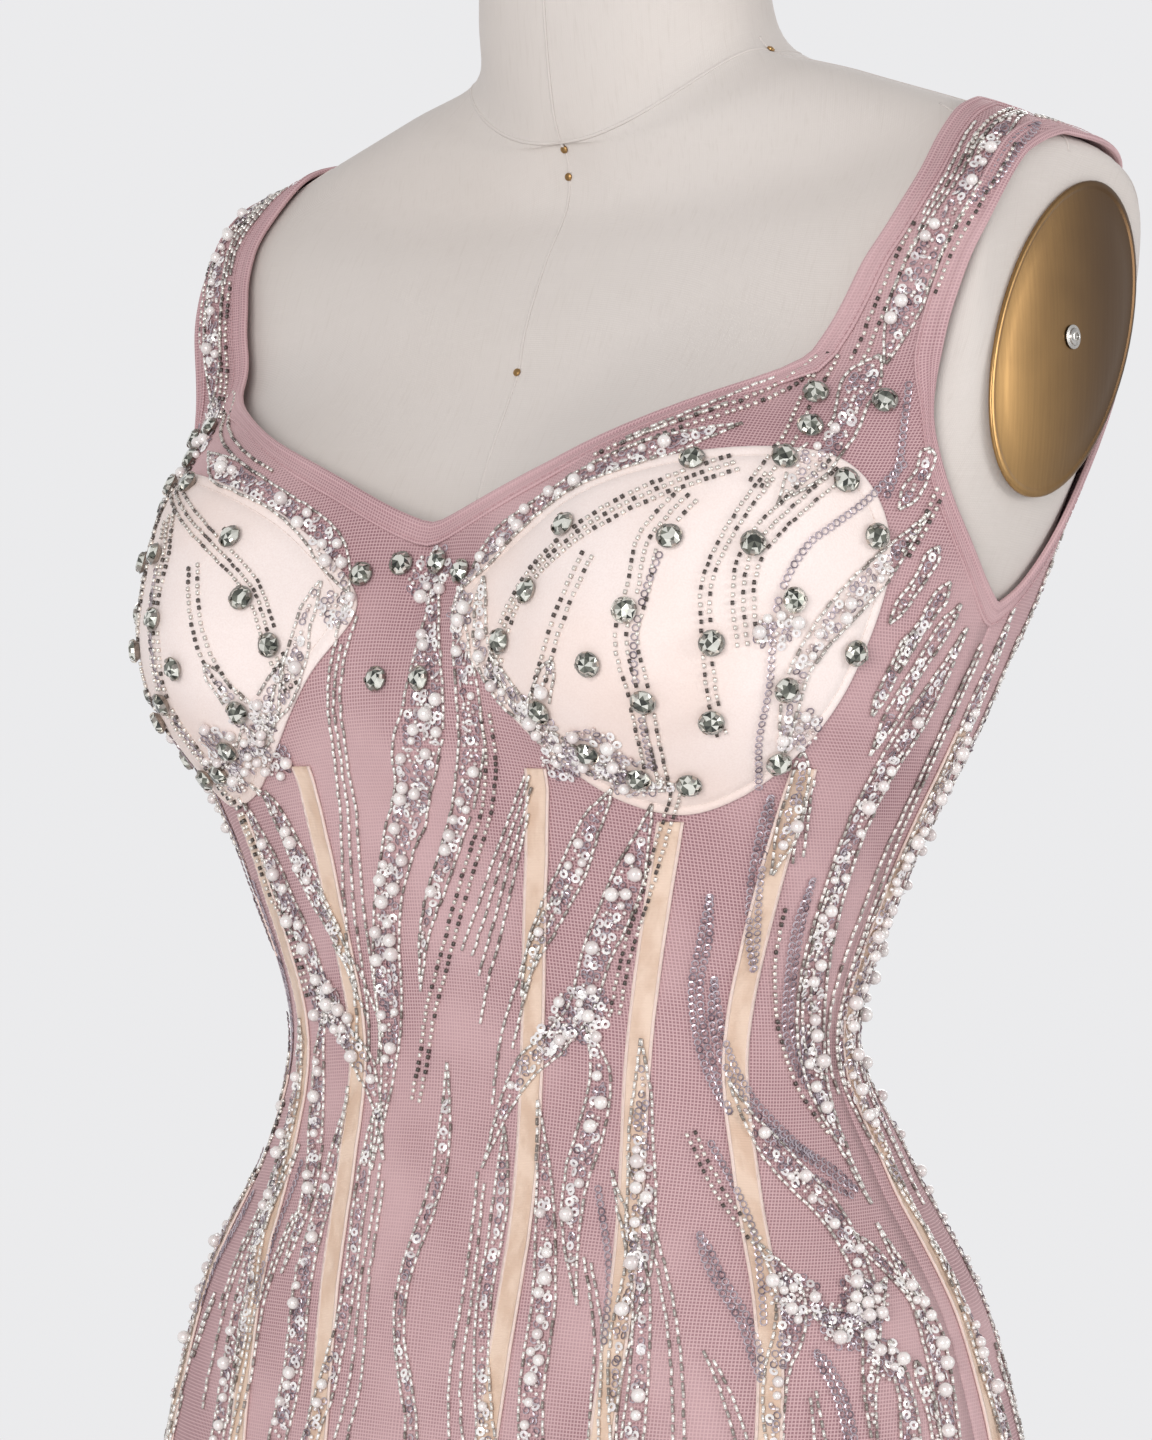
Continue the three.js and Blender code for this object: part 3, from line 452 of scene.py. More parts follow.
def add_surround():
    surround = Surround("studio_surround")
    looking = surround.node("ShaderNodeTexCoord", {}, {}, output="Generated")
    behind = (-math.sin(VIEW_TURN), math.cos(VIEW_TURN), 0)
    facing = surround.node("ShaderNodeVectorMath", {"operation": "DOT_PRODUCT"}, {0: looking, 1: behind}, "Value")
    above = surround.node("ShaderNodeVectorMath", {"operation": "DOT_PRODUCT"}, {0: looking, 1: (0, 0, 1)}, "Value")
    pale = facing.step(-0.3, 0.9) * (1 - above.step(0.25, 0.9) * 0.8)
    surround.feed("Color", surround.mix(pale, ROOM_GREY, WALL_PALE))


add_surround()
print("surround:", bpy.context.scene.world.name)

# %% [markdown]
# ## Finishes of the cloth and the form
# The dress is stretch net: a square mesh of about a millimetre, over a smooth power net in the same pink. On the
# object it can be woven as geometry, but at this scale it would take millions of threads, so the mesh is a pattern
# on the cloth's own measures, with a bump for its threads. The form's linen has long slubs down its warp, the cups
# are matt crepe, and the boning tapes are satin that puckers between its woven edges, with painted sheen and shade
# laid on its puckers.

# %% Cloth finishes


def tint(red, green, blue):
    """A colour as a dyer's chart gives it, from 0 to 255, made linear for the shader."""
    return tuple((c / 255 / 12.92) if c < 11 else ((c / 255 + 0.055) / 1.055) ** 2.4 for c in (red, green, blue))


DUSTY_PINK = tint(202, 166, 168)
DEEP_PINK = tint(138, 98, 104)
PALE_PINK = tint(216, 184, 184)


def net_finish(name, pitch, thread, depth, colours=(DUSTY_PINK, DEEP_PINK)):
    """Square net: pitch in metres, thread as a share of it, over a darker ground."""
    finish = Finish(name, roughness=0.72, sheen_weight=0.35, sheen_roughness=0.4)
    finish.shader.inputs["Sheen Tint"].default_value = (*PALE_PINK, 1)
    u, v, _ = finish.cloth_uv()
    weft = (v / pitch).wave().step(1 - thread, 1)
    warp = (u / pitch).wave().step(1 - thread, 1)
    threads = weft.maths("MAXIMUM", warp)
    broad = finish.noise(7.0, 3.0).step(0.35, 0.65)
    slack = finish.noise(11.0, 2.0).step(0.4, 0.6)
    fine = finish.noise(260.0, 2.0).step(0.3, 0.7)
    ground = finish.mix(broad * 0.2 + slack * 0.65, colours[1], colours[0])
    top = finish.mix(broad * 0.35 + fine * 0.15, colours[0], PALE_PINK)
    finish.feed("Base Color", finish.mix(threads, ground, top))
    finish.bump(threads + fine * 0.3, depth, 0.5)
    return finish.material


def crepe_finish():
    finish = Finish("cup_crepe", roughness=0.8, sheen_weight=0.25, sheen_roughness=0.5)
    grain = finish.noise(1400.0, 2.0)
    broad = finish.noise(12.0, 3.0)
    colour = finish.mix(broad.step(0.35, 0.7), tint(243, 229, 224), tint(236, 216, 207))
    finish.feed("Base Color", finish.mix(grain.step(0.3, 0.75) * 0.2, colour, tint(218, 192, 181)))
    finish.bump(grain + broad * 2, 0.00012, 0.6)
    return finish.material


TAPE_EDGE = 0.72


def tape_finish():
    """The tape's own measures: weft runs from -1 to 1 across it, warp is metres along it."""
    finish = Finish("boning_satin", roughness=0.46, sheen_weight=0.2, sheen_roughness=0.3)
    across, along, vector = finish.cloth_uv()
    edge = across.size().step(TAPE_EDGE, TAPE_EDGE + 0.1)
    stretched = finish.stretch(vector, (0.6, 62.0, 1.0))
    pucker_and_painted_sheen = finish.noise(1.0, 3.0, stretched).step(0.36, 0.66)
    threads = (along / 0.0006).wave()
    # painted sheen and shade: the satin is lighter and darker with the same puckers that the bump raises
    satin = finish.mix(pucker_and_painted_sheen, tint(230, 204, 184), tint(214, 184, 162))
    body = finish.mix(threads * 0.12, satin, tint(176, 136, 110))
    finish.feed("Base Color", finish.mix(edge, body, tint(232, 208, 198)))
    finish.bump(threads * 0.3 + pucker_and_painted_sheen * 2 + edge * 2, 0.00025, 0.7)
    return finish.material


def linen_finish():
    finish = Finish("form_linen", roughness=0.86, sheen_weight=0.15, sheen_roughness=0.5)
    u, v, vector = finish.cloth_uv()
    slub = finish.noise(1.0, 2.0, finish.stretch(vector, (900.0, 60.0, 1.0)))
    weft = finish.noise(1.0, 2.0, finish.stretch(vector, (70.0, 900.0, 1.0)))
    weave = (u / 0.0009).wave() * 0.5 + (v / 0.0009).wave() * 0.5
    blotch = finish.noise(6.0, 3.0)
    colour = finish.mix(blotch.step(0.3, 0.7), tint(214, 206, 200), tint(206, 197, 190))
    colour = finish.mix(slub.step(0.5, 0.8) * 0.22, colour, tint(188, 177, 168))
    colour = finish.mix(weft.step(0.5, 0.8) * 0.14, colour, tint(226, 219, 212))
    finish.feed("Base Color", finish.mix(weave * 0.12, colour, tint(186, 176, 168)))
    finish.bump(weave + slub + weft * 0.6, 0.0001, 0.4)
    return finish.material


net_cloth = net_finish("stretch_net", 0.0013, 0.62, 0.00015)
binding_cloth = net_finish("turned_net", 0.0013, 0.66, 0.00012, (tint(204, 168, 170), tint(158, 118, 124)))
cup_crepe = crepe_finish()
boning_satin = tape_finish()
form_linen = linen_finish()
print("cloth:", [m.name for m in (net_cloth, binding_cloth, cup_crepe, boning_satin, form_linen)])

# %% [markdown]
# ## The dress form
# A tailor's form is a moulded shell under stretched linen: smooth, whole and limbless, ending in a neck block above
# and a flat board below. It could be lofted ring by ring. Here a grid of quads is added and each row is wrapped
# round the figure's rings, because that also gives the linen its own measures for the weave. The join is merged and
# both ends are filled with faces.

# %% Mesh helpers


def finished(obj, material, body=BODY):
    """A piece gets its material and the body that it rides on."""
    obj.data.materials.clear()
    obj.data.materials.append(material)
    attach(obj, body)
    return obj


def activate(obj):
    bpy.ops.object.select_all(action="DESELECT")
    obj.select_set(True)
    bpy.context.view_layer.objects.active = obj


def mesh_piece(name, points, faces, smooth=True):
    """An object from points in millimetres and one or more arrays of faces."""
    groups = faces if isinstance(faces, (list, tuple)) else [faces]
    corners = np.concatenate([group.ravel() for group in groups])
    sizes = np.concatenate([np.full(len(group), group.shape[1]) for group in groups])
    mesh = bpy.data.meshes.new(name)
    mesh.vertices.add(len(points))
    mesh.vertices.foreach_set("co", (np.asarray(points, float) * MM).ravel())
    mesh.loops.add(len(corners))
    mesh.loops.foreach_set("vertex_index", corners)
    mesh.polygons.add(len(sizes))
    mesh.polygons.foreach_set("loop_start", np.concatenate([[0], np.cumsum(sizes)[:-1]]))
    mesh.polygons.foreach_set("use_smooth", np.full(len(sizes), smooth))
    mesh.update(calc_edges=True)
    mesh.validate()
    obj = bpy.data.objects.new(name, mesh)
    bpy.context.scene.collection.objects.link(obj)
    return obj


def lay_uv(obj, per_point):
    """Gives every corner its point's place in the cloth's own measures."""
    layer = obj.data.uv_layers.new(name="cloth")
    corners = np.empty(len(obj.data.loops), int)
    obj.data.loops.foreach_get("vertex_index", corners)
    layer.data.foreach_set("uv", np.asarray(per_point, float)[corners].ravel())


MEASURED_TURNS = np.arange(-180, 541, 2)
MEASURED_LEVELS = np.linspace(0, TOP_LEVEL, 191)


def measured_lengths():
    """Lengths from centre front round the figure, and from the hem up it, in metres."""
    points = figure_point(MEASURED_LEVELS[:, None], MEASURED_TURNS[None, :]) * MM
    round_it = np.linalg.norm(np.diff(points, axis=1, prepend=points[:, :1]), axis=-1).cumsum(axis=1)
    up_it = np.linalg.norm(np.diff(points, axis=0, prepend=points[:1]), axis=-1).cumsum(axis=0)
    front = np.argmin(np.abs(MEASURED_TURNS))
    return round_it - round_it[:, front:front + 1], up_it


ROUND_IT, UP_IT = measured_lengths()


def cloth_measures(level, angle):
    """Metres along the weft, round the body, and along the warp, up it."""
    row = np.clip(level / TOP_LEVEL * (len(MEASURED_LEVELS) - 1), 0, len(MEASURED_LEVELS) - 1.001)
    column = np.clip((angle - MEASURED_TURNS[0]) / 2, 0, len(MEASURED_TURNS) - 1.001)
    i, j = row.astype(int), column.astype(int)
    u, v = row - i, column - j
    read = lambda rows: ((1 - u) * (1 - v) * rows[i, j] + (1 - u) * v * rows[i, j + 1]
                         + u * (1 - v) * rows[i + 1, j] + u * v * rows[i + 1, j + 1])
    return np.stack([read(ROUND_IT), read(UP_IT)], axis=-1)


def apply_modifiers(obj):
    activate(obj)
    for modifier in list(obj.modifiers):
        bpy.ops.object.modifier_apply(modifier=modifier.name)


print("helpers: ready")

# %% The linen form
FORM_AROUND = 144
FORM_UP = 150
PIN_PLACES = [(0, 336), (0, 326), (0, 250), (90, 374), (-90, 374), (180, 372)]
DIMPLE = {"deep": 1.5, "wide": 9}


def form_point(level, angle):
    """The form is a little smaller than the figure where the dress covers it, and each pin pulls a dimple in it."""
    point = figure_point(level, angle, clothed=False)
    sunk = FORM_INSET * ease(FORM_BARE[1], FORM_BARE[0], point[..., 2] - WAIST_Z)
    for place in PIN_PLACES:
        pinned = figure_point(*spot(*map(float, place)), clothed=False)
        sunk = sunk + DIMPLE["deep"] * np.exp(-((point - pinned) ** 2).sum(axis=-1) / DIMPLE["wide"] ** 2)
    return point - figure_normal(level, angle, clothed=False) * sunk[..., None]


def add_form():
    bpy.ops.object.select_all(action="DESELECT")
    bpy.ops.mesh.primitive_grid_add(x_subdivisions=FORM_AROUND, y_subdivisions=FORM_UP, size=2)
    form = bpy.context.object
    form.name = "linen_form"
    count = len(form.data.vertices)
    flat = np.empty(count * 3)
    form.data.vertices.foreach_get("co", flat)
    flat = flat.reshape(-1, 3)
    angle = flat[:, 0] * 180
    level = 1 + (flat[:, 1] + 1) / 2 * (TOP_LEVEL - 1)
    points = form_point(level, angle)
    form.data.vertices.foreach_set("co", (points * MM).ravel())
    while form.data.uv_layers:
        form.data.uv_layers.remove(form.data.uv_layers[0])
    lay_uv(form, cloth_measures(level, angle))
    activate(form)
    bpy.ops.object.mode_set(mode="EDIT")
    bpy.ops.mesh.select_all(action="SELECT")
    bpy.ops.mesh.remove_doubles(threshold=0.00001)
    bpy.ops.mesh.select_all(action="DESELECT")
    bpy.ops.mesh.select_mode(type="EDGE")
    bpy.ops.mesh.select_non_manifold(extend=False)
    bpy.ops.mesh.edge_face_add()
    bpy.ops.mesh.select_all(action="SELECT")
    bpy.ops.mesh.normals_make_consistent(inside=False)
    bpy.ops.object.mode_set(mode="OBJECT")
    bpy.ops.object.shade_smooth_by_angle(angle=math.radians(40))
    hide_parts("form_body")
    return finished(form, form_linen)


form = add_form()
print("form:", len(form.data.polygons), "faces,", len(PIN_PLACES), "dimples")

# %% [markdown]
# ## Cutting the panels
# The dress has one front and two back panels, joined at the sides and on the shoulders. A pattern piece is a grid of
# places: lines run up the cloth from the hem to its top edge, and rows run round it. The neckline, the armholes and
# the straps come from a few measures each, as on a paper pattern. The walls get their thickness from a Solidify
# modifier, so that they are real cloth with an inside.

# %% Pattern tables
SEAM_SIDE = 91.7
SIDE_GAP = 0.06
SHOULDER_GAP = 0.012
BACK_GAP = 0.06
BAND = 9.0
CHANNEL_WIDTH = 8.5
SIDE_TAPE = (95.5, 99.5)
CHANNEL_ANGLES = {
    "inner": (11, 10, 9, 8, 10.5, 14.5, 17, 16.5, 15),
    "middle": (27, 25.5, 24, 22, 27, 34.5, 39.5, 39.5, 38),
    "outer": (51, 49.5, 48, 47, 53, 59, 62.5, 62.5, 62),
}
CHANNEL_TOPS = {"inner": 7.75, "middle": 7.4, "outer": 7.75, "side": 8.0}
CHANNEL_TABLE = np.array(list(CHANNEL_ANGLES.values()), float).T
CHANNEL_LINES = (("inner", 3), ("middle", 3), ("outer", 2))
UNDER_BUST = list(RINGS).index("under bust")
NECKLINE = ((0, 188), (2.5, 193), (5.5, 199), (8.5, 204.5), (12, 210), (18, 219), (26, 231))
FRONT_ARMHOLE = ((58.5, 224), (65, 208), (72.5, 193), (82, 177), (SEAM_SIDE - SIDE_GAP, 160))
BACK_ARMHOLE = ((SEAM_SIDE + SIDE_GAP, 160), (SIDE_TAPE[0], 165), (SIDE_TAPE[1], 174), (105, 190), (111, 212))
BACK_NECKLINE = ((160, 226), (168.5, 220), (175.3, 217.5), (180 - BACK_GAP, 217))
BACK_LINES = (SEAM_SIDE + SIDE_GAP, *SIDE_TAPE, 107, 114, 121, 128, 136, 144, 152, 160, 168, 175.3, 180 - BACK_GAP)
STRAP_COLUMNS = ("neck angle", "neck height", "arm angle", "arm height")
FRONT_STRAP = np.array([
    (34, 242, 54.5, 242), (34.5, 264, 52, 264), (36, 286, 52.5, 285), (41, 306, 57.5, 304), (54, 325, 68.5, 320),
    (72, 339.5, 79.5, 327.5), (90 - SHOULDER_GAP, 346, 90 - SHOULDER_GAP, 331.5),
], float)
BACK_STRAP = np.array([
    (152, 235, 118, 238), (156, 258, 129, 260), (158, 281, 137, 282), (156, 304, 139, 302),
    (148, 325, 132, 318), (125, 339.5, 111, 329), (90 + SHOULDER_GAP, 346, 90 + SHOULDER_GAP, 331.5),
], float)
FRONT_CELLS, BACK_CELLS = 6, 4
STRAP_ROWS = 44
FINE = 3
LOWER_ROWS, UPPER_ROWS, BAND_ROWS = 84, 30, 3
print("pattern:", len(NECKLINE), "neckline points,", len(FRONT_STRAP), "strap stations")

# %% Places of the panels and straps


def blend_places(first, second, share):
    return first + (second - first) * share


def strap_row(stations, cells, at):
    """Places across a strap, from its neck edge to its arm edge, with a band's width along each edge."""
    neck_angle, neck_height, arm_angle, arm_height = curve_through(stations, at)
    neck, arm = spot(neck_angle, neck_height), spot(arm_angle, arm_height)
    band = BAND / np.linalg.norm(cloth_point(neck) - cloth_point(arm))
    shares = np.array([0, *(band + (1 - 2 * band) * k / (cells - 2) for k in range(cells - 1)), 1])
    return blend_places(neck[None, :], arm[None, :], shares[:, None])


def refine(places, times=FINE):
    """More places along an edge, on a smooth curve through those that it has."""
    return curve_through(places, np.arange(times * (len(places) - 1) + 1) / times)


def strap_grid(stations, cells):
    rows = [refine(strap_row(stations, cells, at)) for at in np.linspace(0, len(stations) - 1, STRAP_ROWS + 1)]
    return np.stack(rows, axis=1)


def channel_half(level, angle):
    arc = np.linalg.norm(figure_point(level, angle + 0.5) - figure_point(level, angle - 0.5), axis=-1)
    return CHANNEL_WIDTH / 2 / arc


def front_angles(level):
    """Angles of the front's lines below the bust. Each boning channel takes two of them."""
    middles = curve_through(CHANNEL_TABLE, level)
    angles, start = [0.0], 0.0
    for (_, fillers), middle in zip(CHANNEL_LINES, middles):
        half = channel_half(level, middle)
        angles += [start + (middle - half - start) * k / (fillers + 1) for k in range(1, fillers + 1)]
        angles += [middle - half, middle + half]
        start = middle + half
    side = SEAM_SIDE - SIDE_GAP
    return angles + [start + (side - start) * k / 4 for k in range(1, 5)]


def between_lines(angles):
    return np.interp(np.arange(FINE * (len(angles) - 1) + 1) / FINE, np.arange(len(angles)), angles)


def panel_grid(tops, angles_at):
    """Lines from the hem up to a list of top places: straight up to under the bust, then fanned to the top edge."""
    levels = np.linspace(0, UNDER_BUST, LOWER_ROWS + 1)
    lower = np.stack([np.stack([np.full(len(tops), lv), between_lines(angles_at(lv))], axis=-1) for lv in levels], 1)
    foot = lower[:, -1]
    reach = np.linalg.norm(cloth_point(tops) - cloth_point(blend_places(foot, tops, 0.9)), axis=-1)
    below = blend_places(foot, tops, (1 - 0.1 * BAND / reach)[:, None])
    upper = [blend_places(foot, below, (k + 1) / UPPER_ROWS) for k in range(UPPER_ROWS)]
    band = [blend_places(below, tops, (k + 1) / BAND_ROWS) for k in range(BAND_ROWS)]
    return np.concatenate([lower, np.stack(upper + band, axis=1)], axis=1)


def edge_places(rows):
    return np.stack([spot(float(angle), float(height)) for angle, height in rows])


def top_edge(*stretches):
    """Each stretch is smooth in itself, and neighbours share their corner."""
    fine = [refine(stretch) for stretch in stretches]
    return np.concatenate([fine[0], *(part[1:] for part in fine[1:])])


def front_grid():
    foot = strap_row(FRONT_STRAP, FRONT_CELLS, 0.0)
    neck = np.concatenate([edge_places(NECKLINE), foot[:1]])
    arm = np.concatenate([foot[-1:], edge_places(FRONT_ARMHOLE)])
    return panel_grid(top_edge(neck, foot, arm), front_angles)


def back_grid():
    foot = strap_row(BACK_STRAP, BACK_CELLS, 0.0)[::-1]
    arm = np.concatenate([edge_places(BACK_ARMHOLE), foot[:1]])
    neck = np.concatenate([foot[-1:], edge_places(BACK_NECKLINE)])
    return panel_grid(top_edge(arm, foot, neck), lambda level: BACK_LINES)


def mirrored(grid):
    """The other side's places: the same levels at the opposite angles, in the order that keeps faces outward."""
    return (grid * (1, -1))[::-1]


FRONT = front_grid()
BACK = back_grid()
FRONT_STRAPS = strap_grid(FRONT_STRAP, FRONT_CELLS)
BACK_STRAPS = strap_grid(BACK_STRAP, BACK_CELLS)[::-1]
print("places: front", FRONT.shape[:2], "back", BACK.shape[:2], "straps", FRONT_STRAPS.shape[:2])

# %% Sewing the panels


def grid_faces(shape, first=0):
    """Quads of a grid of points, in the order that faces outwards."""
    index = first + np.arange(shape[0] * shape[1]).reshape(shape[0], shape[1])
    return np.stack([index[:-1, :-1], index[1:, :-1], index[1:, 1:], index[:-1, 1:]], axis=-1).reshape(-1, 4)


def cloth_piece(name, grids, outer, thickness, material, merge=True):
    """One wall of cloth from several grids of places that share edges."""
    places = np.concatenate([grid.reshape(-1, 2) for grid in grids])
    starts = np.cumsum([0] + [grid.shape[0] * grid.shape[1] for grid in grids])
    faces = np.concatenate([grid_faces(grid.shape, start) for grid, start in zip(grids, starts)])
    points = cloth_point(places, outer)
    piece = mesh_piece(name, points, faces)
    lay_uv(piece, cloth_measures(places[:, 0], places[:, 1]))
    activate(piece)
    if merge:
        bpy.ops.object.mode_set(mode="EDIT")
        bpy.ops.mesh.select_all(action="SELECT")
        bpy.ops.mesh.remove_doubles(threshold=0.00002)
        bpy.ops.object.mode_set(mode="OBJECT")
    wall = piece.modifiers.new("wall", "SOLIDIFY")
    wall.thickness = thickness * MM
    wall.offset = -1
    apply_modifiers(piece)
    return finished(piece, material)


VISIBLE_WALL = 1.0
front_panel = cloth_piece(
    "net_front", [FRONT, FRONT_STRAPS, mirrored(FRONT), mirrored(FRONT_STRAPS)], WALL, VISIBLE_WALL, net_cloth
)
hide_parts("front_panel")
for side, turned in (("left", lambda grid: grid), ("right", mirrored)):
    grids = [turned(BACK), turned(BACK_STRAPS)]
    cloth_piece(f"net_back_{side}", grids, WALL, VISIBLE_WALL, net_cloth)
    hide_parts(f"back_panel_{side}")

# %% [markdown]
# ## Turned bands and boning channels
# The raw edges of the neckline and the armholes are turned twice and stitched down, which leaves a soft band about
# nine millimetres wide with a rolled edge. A bevelled curve would twist on the figure, so the band is a small rounded
# section swept along the edge's own places. The boning channels are satin tapes laid on the cloth below the cups and
# stitched along both edges. The tape shrinks a little when sewn, so it puckers in uneven ripples.

# %% Bands
EDGE_ROWS = BAND_ROWS
STRAP_BAND = FINE


def lines_across(grid, start, end):
    """Edge places and the band's inner places, along a panel's top edge between two lines."""
    part = grid[start:end + 1]
    return np.stack([part[:, -1], part[:, -1 - EDGE_ROWS]], axis=1)


def lines_up(grid, side):
    """The same along a strap's neck edge or arm edge, which are its first and last lines."""
    edge, inner = (0, STRAP_BAND) if side == "first" else (-1, -1 - STRAP_BAND)
    return np.stack([grid[edge], grid[inner]], axis=1)


FRONT_CORNER, FRONT_ARM_CORNER = 7 * FINE, 13 * FINE
BACK_ARM_CORNER, BACK_CORNER = 5 * FINE, 9 * FINE


def neck_edge():
    left = np.concatenate([
        lines_across(FRONT, 0, FRONT_CORNER - 1),
        lines_up(FRONT_STRAPS, "first")[1:],
        lines_up(BACK_STRAPS, "last")[::-1][:-1],
        lines_across(BACK, BACK_CORNER + 1, len(BACK) - 1),
    ])
    return np.concatenate([(left * (1, -1))[::-1][:-1], left])


def armhole_edge():
    return np.concatenate([
        lines_up(FRONT_STRAPS, "last")[::-1][:-1],
        lines_across(FRONT, FRONT_ARM_CORNER + 1, len(FRONT) - 1),
        lines_across(BACK, 0, BACK_ARM_CORNER - 1),
        lines_up(BACK_STRAPS, "first")[1:],
    ])


def smoothed(points, closed, rounds=2):
    """Evens out the corners of a run of points, and keeps its ends."""
    for _ in range(rounds):
        before, after = np.roll(points, 1, axis=0), np.roll(points, -1, axis=0)
        mean = (before + 2 * points + after) / 4
        if not closed:
            mean[0], mean[-1] = points[0], points[-1]
        points = mean
    return points


# The band's section: how far across from its inner edge, as a share of its width, and its height off the panel.
BAND_SECTION = ((0.0, 0.02), (0.03, 0.42), (0.12, 0.6), (0.58, 0.6), (0.66, 0.3), (0.73, 0.85), (0.86, 1.2),
                (1.0, 1.0), (1.09, 0.4), (1.12, -0.4), (1.06, -1.1), (0.9, -1.3), (0.6, -0.6), (0.1, -0.3))


def sweep(name, edge, inner, normal, closed):
    """Sweeps the band's section along an edge and closes its ends."""
    across = edge - inner
    rings = [inner + across * s + normal * (WALL + 0.1 + lift) for s, lift in BAND_SECTION]
    points = np.stack(rings, axis=1)
    count, sides = points.shape[:2]
    index = np.arange(count * sides).reshape(count, sides)
    nearer = index if closed else index[:-1]
    further = np.roll(index, -1, axis=0) if closed else index[1:]
    wrap = lambda rows: np.roll(rows, -1, axis=1)
    quads = np.stack([nearer, further, wrap(further), wrap(nearer)], axis=-1).reshape(-1, 4)
    faces = [quads] if closed else [quads, index[0][None, :], index[-1][::-1][None, :]]
    piece = mesh_piece(name, points.reshape(-1, 3), faces)
    length = np.concatenate([[0], np.cumsum(np.linalg.norm(np.diff(inner, axis=0), axis=1))])
    around = np.array([s * BAND for s, _ in BAND_SECTION])
    uv = np.stack(np.broadcast_arrays(around[None, :], length[:, None]), axis=-1) * MM
    lay_uv(piece, uv.reshape(-1, 2))
    return piece


def add_band(name, pairs, closed, node):
    edge = smoothed(cloth_point(pairs[:, 0]), closed, 1)
    inner = smoothed(cloth_point(pairs[:, 1]), closed, 3)
    inner = edge + unit(inner - edge) * BAND
    normal = smoothed(figure_normal(pairs[:, 0, 0], pairs[:, 0, 1]), closed, 2)
    piece = sweep(name, edge, inner, normal, closed)
    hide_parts(node)
    finished(piece, binding_cloth)
    return piece


neck_band = add_band("neck_band", neck_edge(), False, "neck_binding")
arm_bands = {
    "left": add_band("armhole_band_left", armhole_edge(), True, "armhole_binding_left"),
    "right": add_band("armhole_band_right", (armhole_edge() * (1, -1))[::-1], True, "armhole_binding_right"),
}
print("bands:", len(neck_band.data.polygons), "faces in the neck band")

# %% Boning channels
TAPE_STEPS = 110
TAPE_THICK = 0.8
TAPE_SPREAD = 1.12
PUCKER = {"height": 0.32, "pitch": 0.17, "second": 0.43}


def tape_middle(name, level):
    if name == "side":
        return np.full(np.shape(level), sum(SIDE_TAPE) / 2)
    return curve_through(CHANNEL_TABLE[:, [list(CHANNEL_ANGLES).index(name)]], level)[..., 0]


def tape_half(name, level, middle):
    if name == "side":
        return np.full(np.shape(level), (SIDE_TAPE[1] - SIDE_TAPE[0]) / 2)
    return channel_half(level, middle)


def add_tape(name, side):
    """A satin tape from the hem to its top, with ripples that die away at its stitched edges."""
    sign = 1 if side == "left" else -1
    level = np.linspace(0, CHANNEL_TOPS[name], TAPE_STEPS + 1)
    middle = tape_middle(name, level)
    half = tape_half(name, level, middle) * TAPE_SPREAD
    across = np.linspace(-1, 1, 9)
    places = np.stack(np.broadcast_arrays(level[None, :], sign * (middle + half * across[:, None])), axis=-1)
    if side == "right":
        places, across = places[::-1], across[::-1]
    row = np.arange(TAPE_STEPS + 1)[None, :]
    ripple = np.sin(row / PUCKER["pitch"] / 4 + sign + len(name)) * np.sin(row * PUCKER["second"] + 2 * sign)
    lift = WALL + 0.9 + PUCKER["height"] * ripple * (1 - across[:, None] ** 4) + 0.15 * np.abs(across[:, None]) ** 6
    level_of, angle_of = places[..., 0], places[..., 1]
    points = cloth_point(places, lift)
    piece = mesh_piece(f"tape_{name}_{side}", points.reshape(-1, 3), grid_faces(points.shape))
    length = np.cumsum(np.linalg.norm(np.diff(points[4], axis=0, prepend=points[4][:1]), axis=1)) * MM
    lay_uv(piece, np.stack(np.broadcast_arrays(across[:, None], length[None, :]), axis=-1).reshape(-1, 2))
    wall = piece.modifiers.new("wall", "SOLIDIFY")
    wall.thickness = TAPE_THICK * MM
    wall.offset = -1
    apply_modifiers(piece)
    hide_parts(f"channel_{name}_{side}")
    finished(piece, boning_satin)
    return piece


tapes = [add_tape(name, side) for side in ("left", "right") for name in (*CHANNEL_ANGLES, "side")]
print("tapes:", len(tapes))

# %% [markdown]
# ## Padded cups
# Each cup is a foam pad covered in pale crepe, cut as a rounded five-sided leaf and stitched round three millimetres
# inside its edge. Pressure in a cloth simulation would round it like a cushion, but a moulded cup keeps the shape of
# the mould, so its loft is given: thin at the raw edge, a pinched stitch line, and then a soft swell.

# %% Cups
CUP_OUTLINE = np.array([
    (4.5, 163), (9, 134), (18, 108), (30, 90), (44, 86), (58, 103), (66, 132), (64, 174), (51, 205), (34, 210),
    (16, 196),
], float)
CUP_MIDDLE = np.array([37.0, 149.0])
CUP_GAP = 0.6
CUP_RAW, CUP_PINCH, CUP_SWELL, CUP_STONE_SEAT = 1.1, 0.7, 4.3, 4.1
CUP_RINGS = np.array([0, *np.linspace(0.08, 0.88, 15), 0.915, 0.935, 0.945, 0.955, 0.965, 0.98, 0.993, 1.0])
CUP_AROUND = 112


def cup_outline(share):
    """The outline's angle and height at a share of the way round it."""
    count = len(CUP_OUTLINE)
    looped = np.concatenate([CUP_OUTLINE[-1:], CUP_OUTLINE, CUP_OUTLINE[:2]])
    return curve_through(looped, 1 + (np.asarray(share, float) % 1) * count)


OUTLINE = cup_outline(np.linspace(0, 1, 720, endpoint=False)) - CUP_MIDDLE
OUTLINE_TURN = np.unwrap(np.arctan2(OUTLINE[:, 1] / 2.5, OUTLINE[:, 0]))
OUTLINE_REACH = np.hypot(OUTLINE[:, 0], OUTLINE[:, 1] / 2.5)


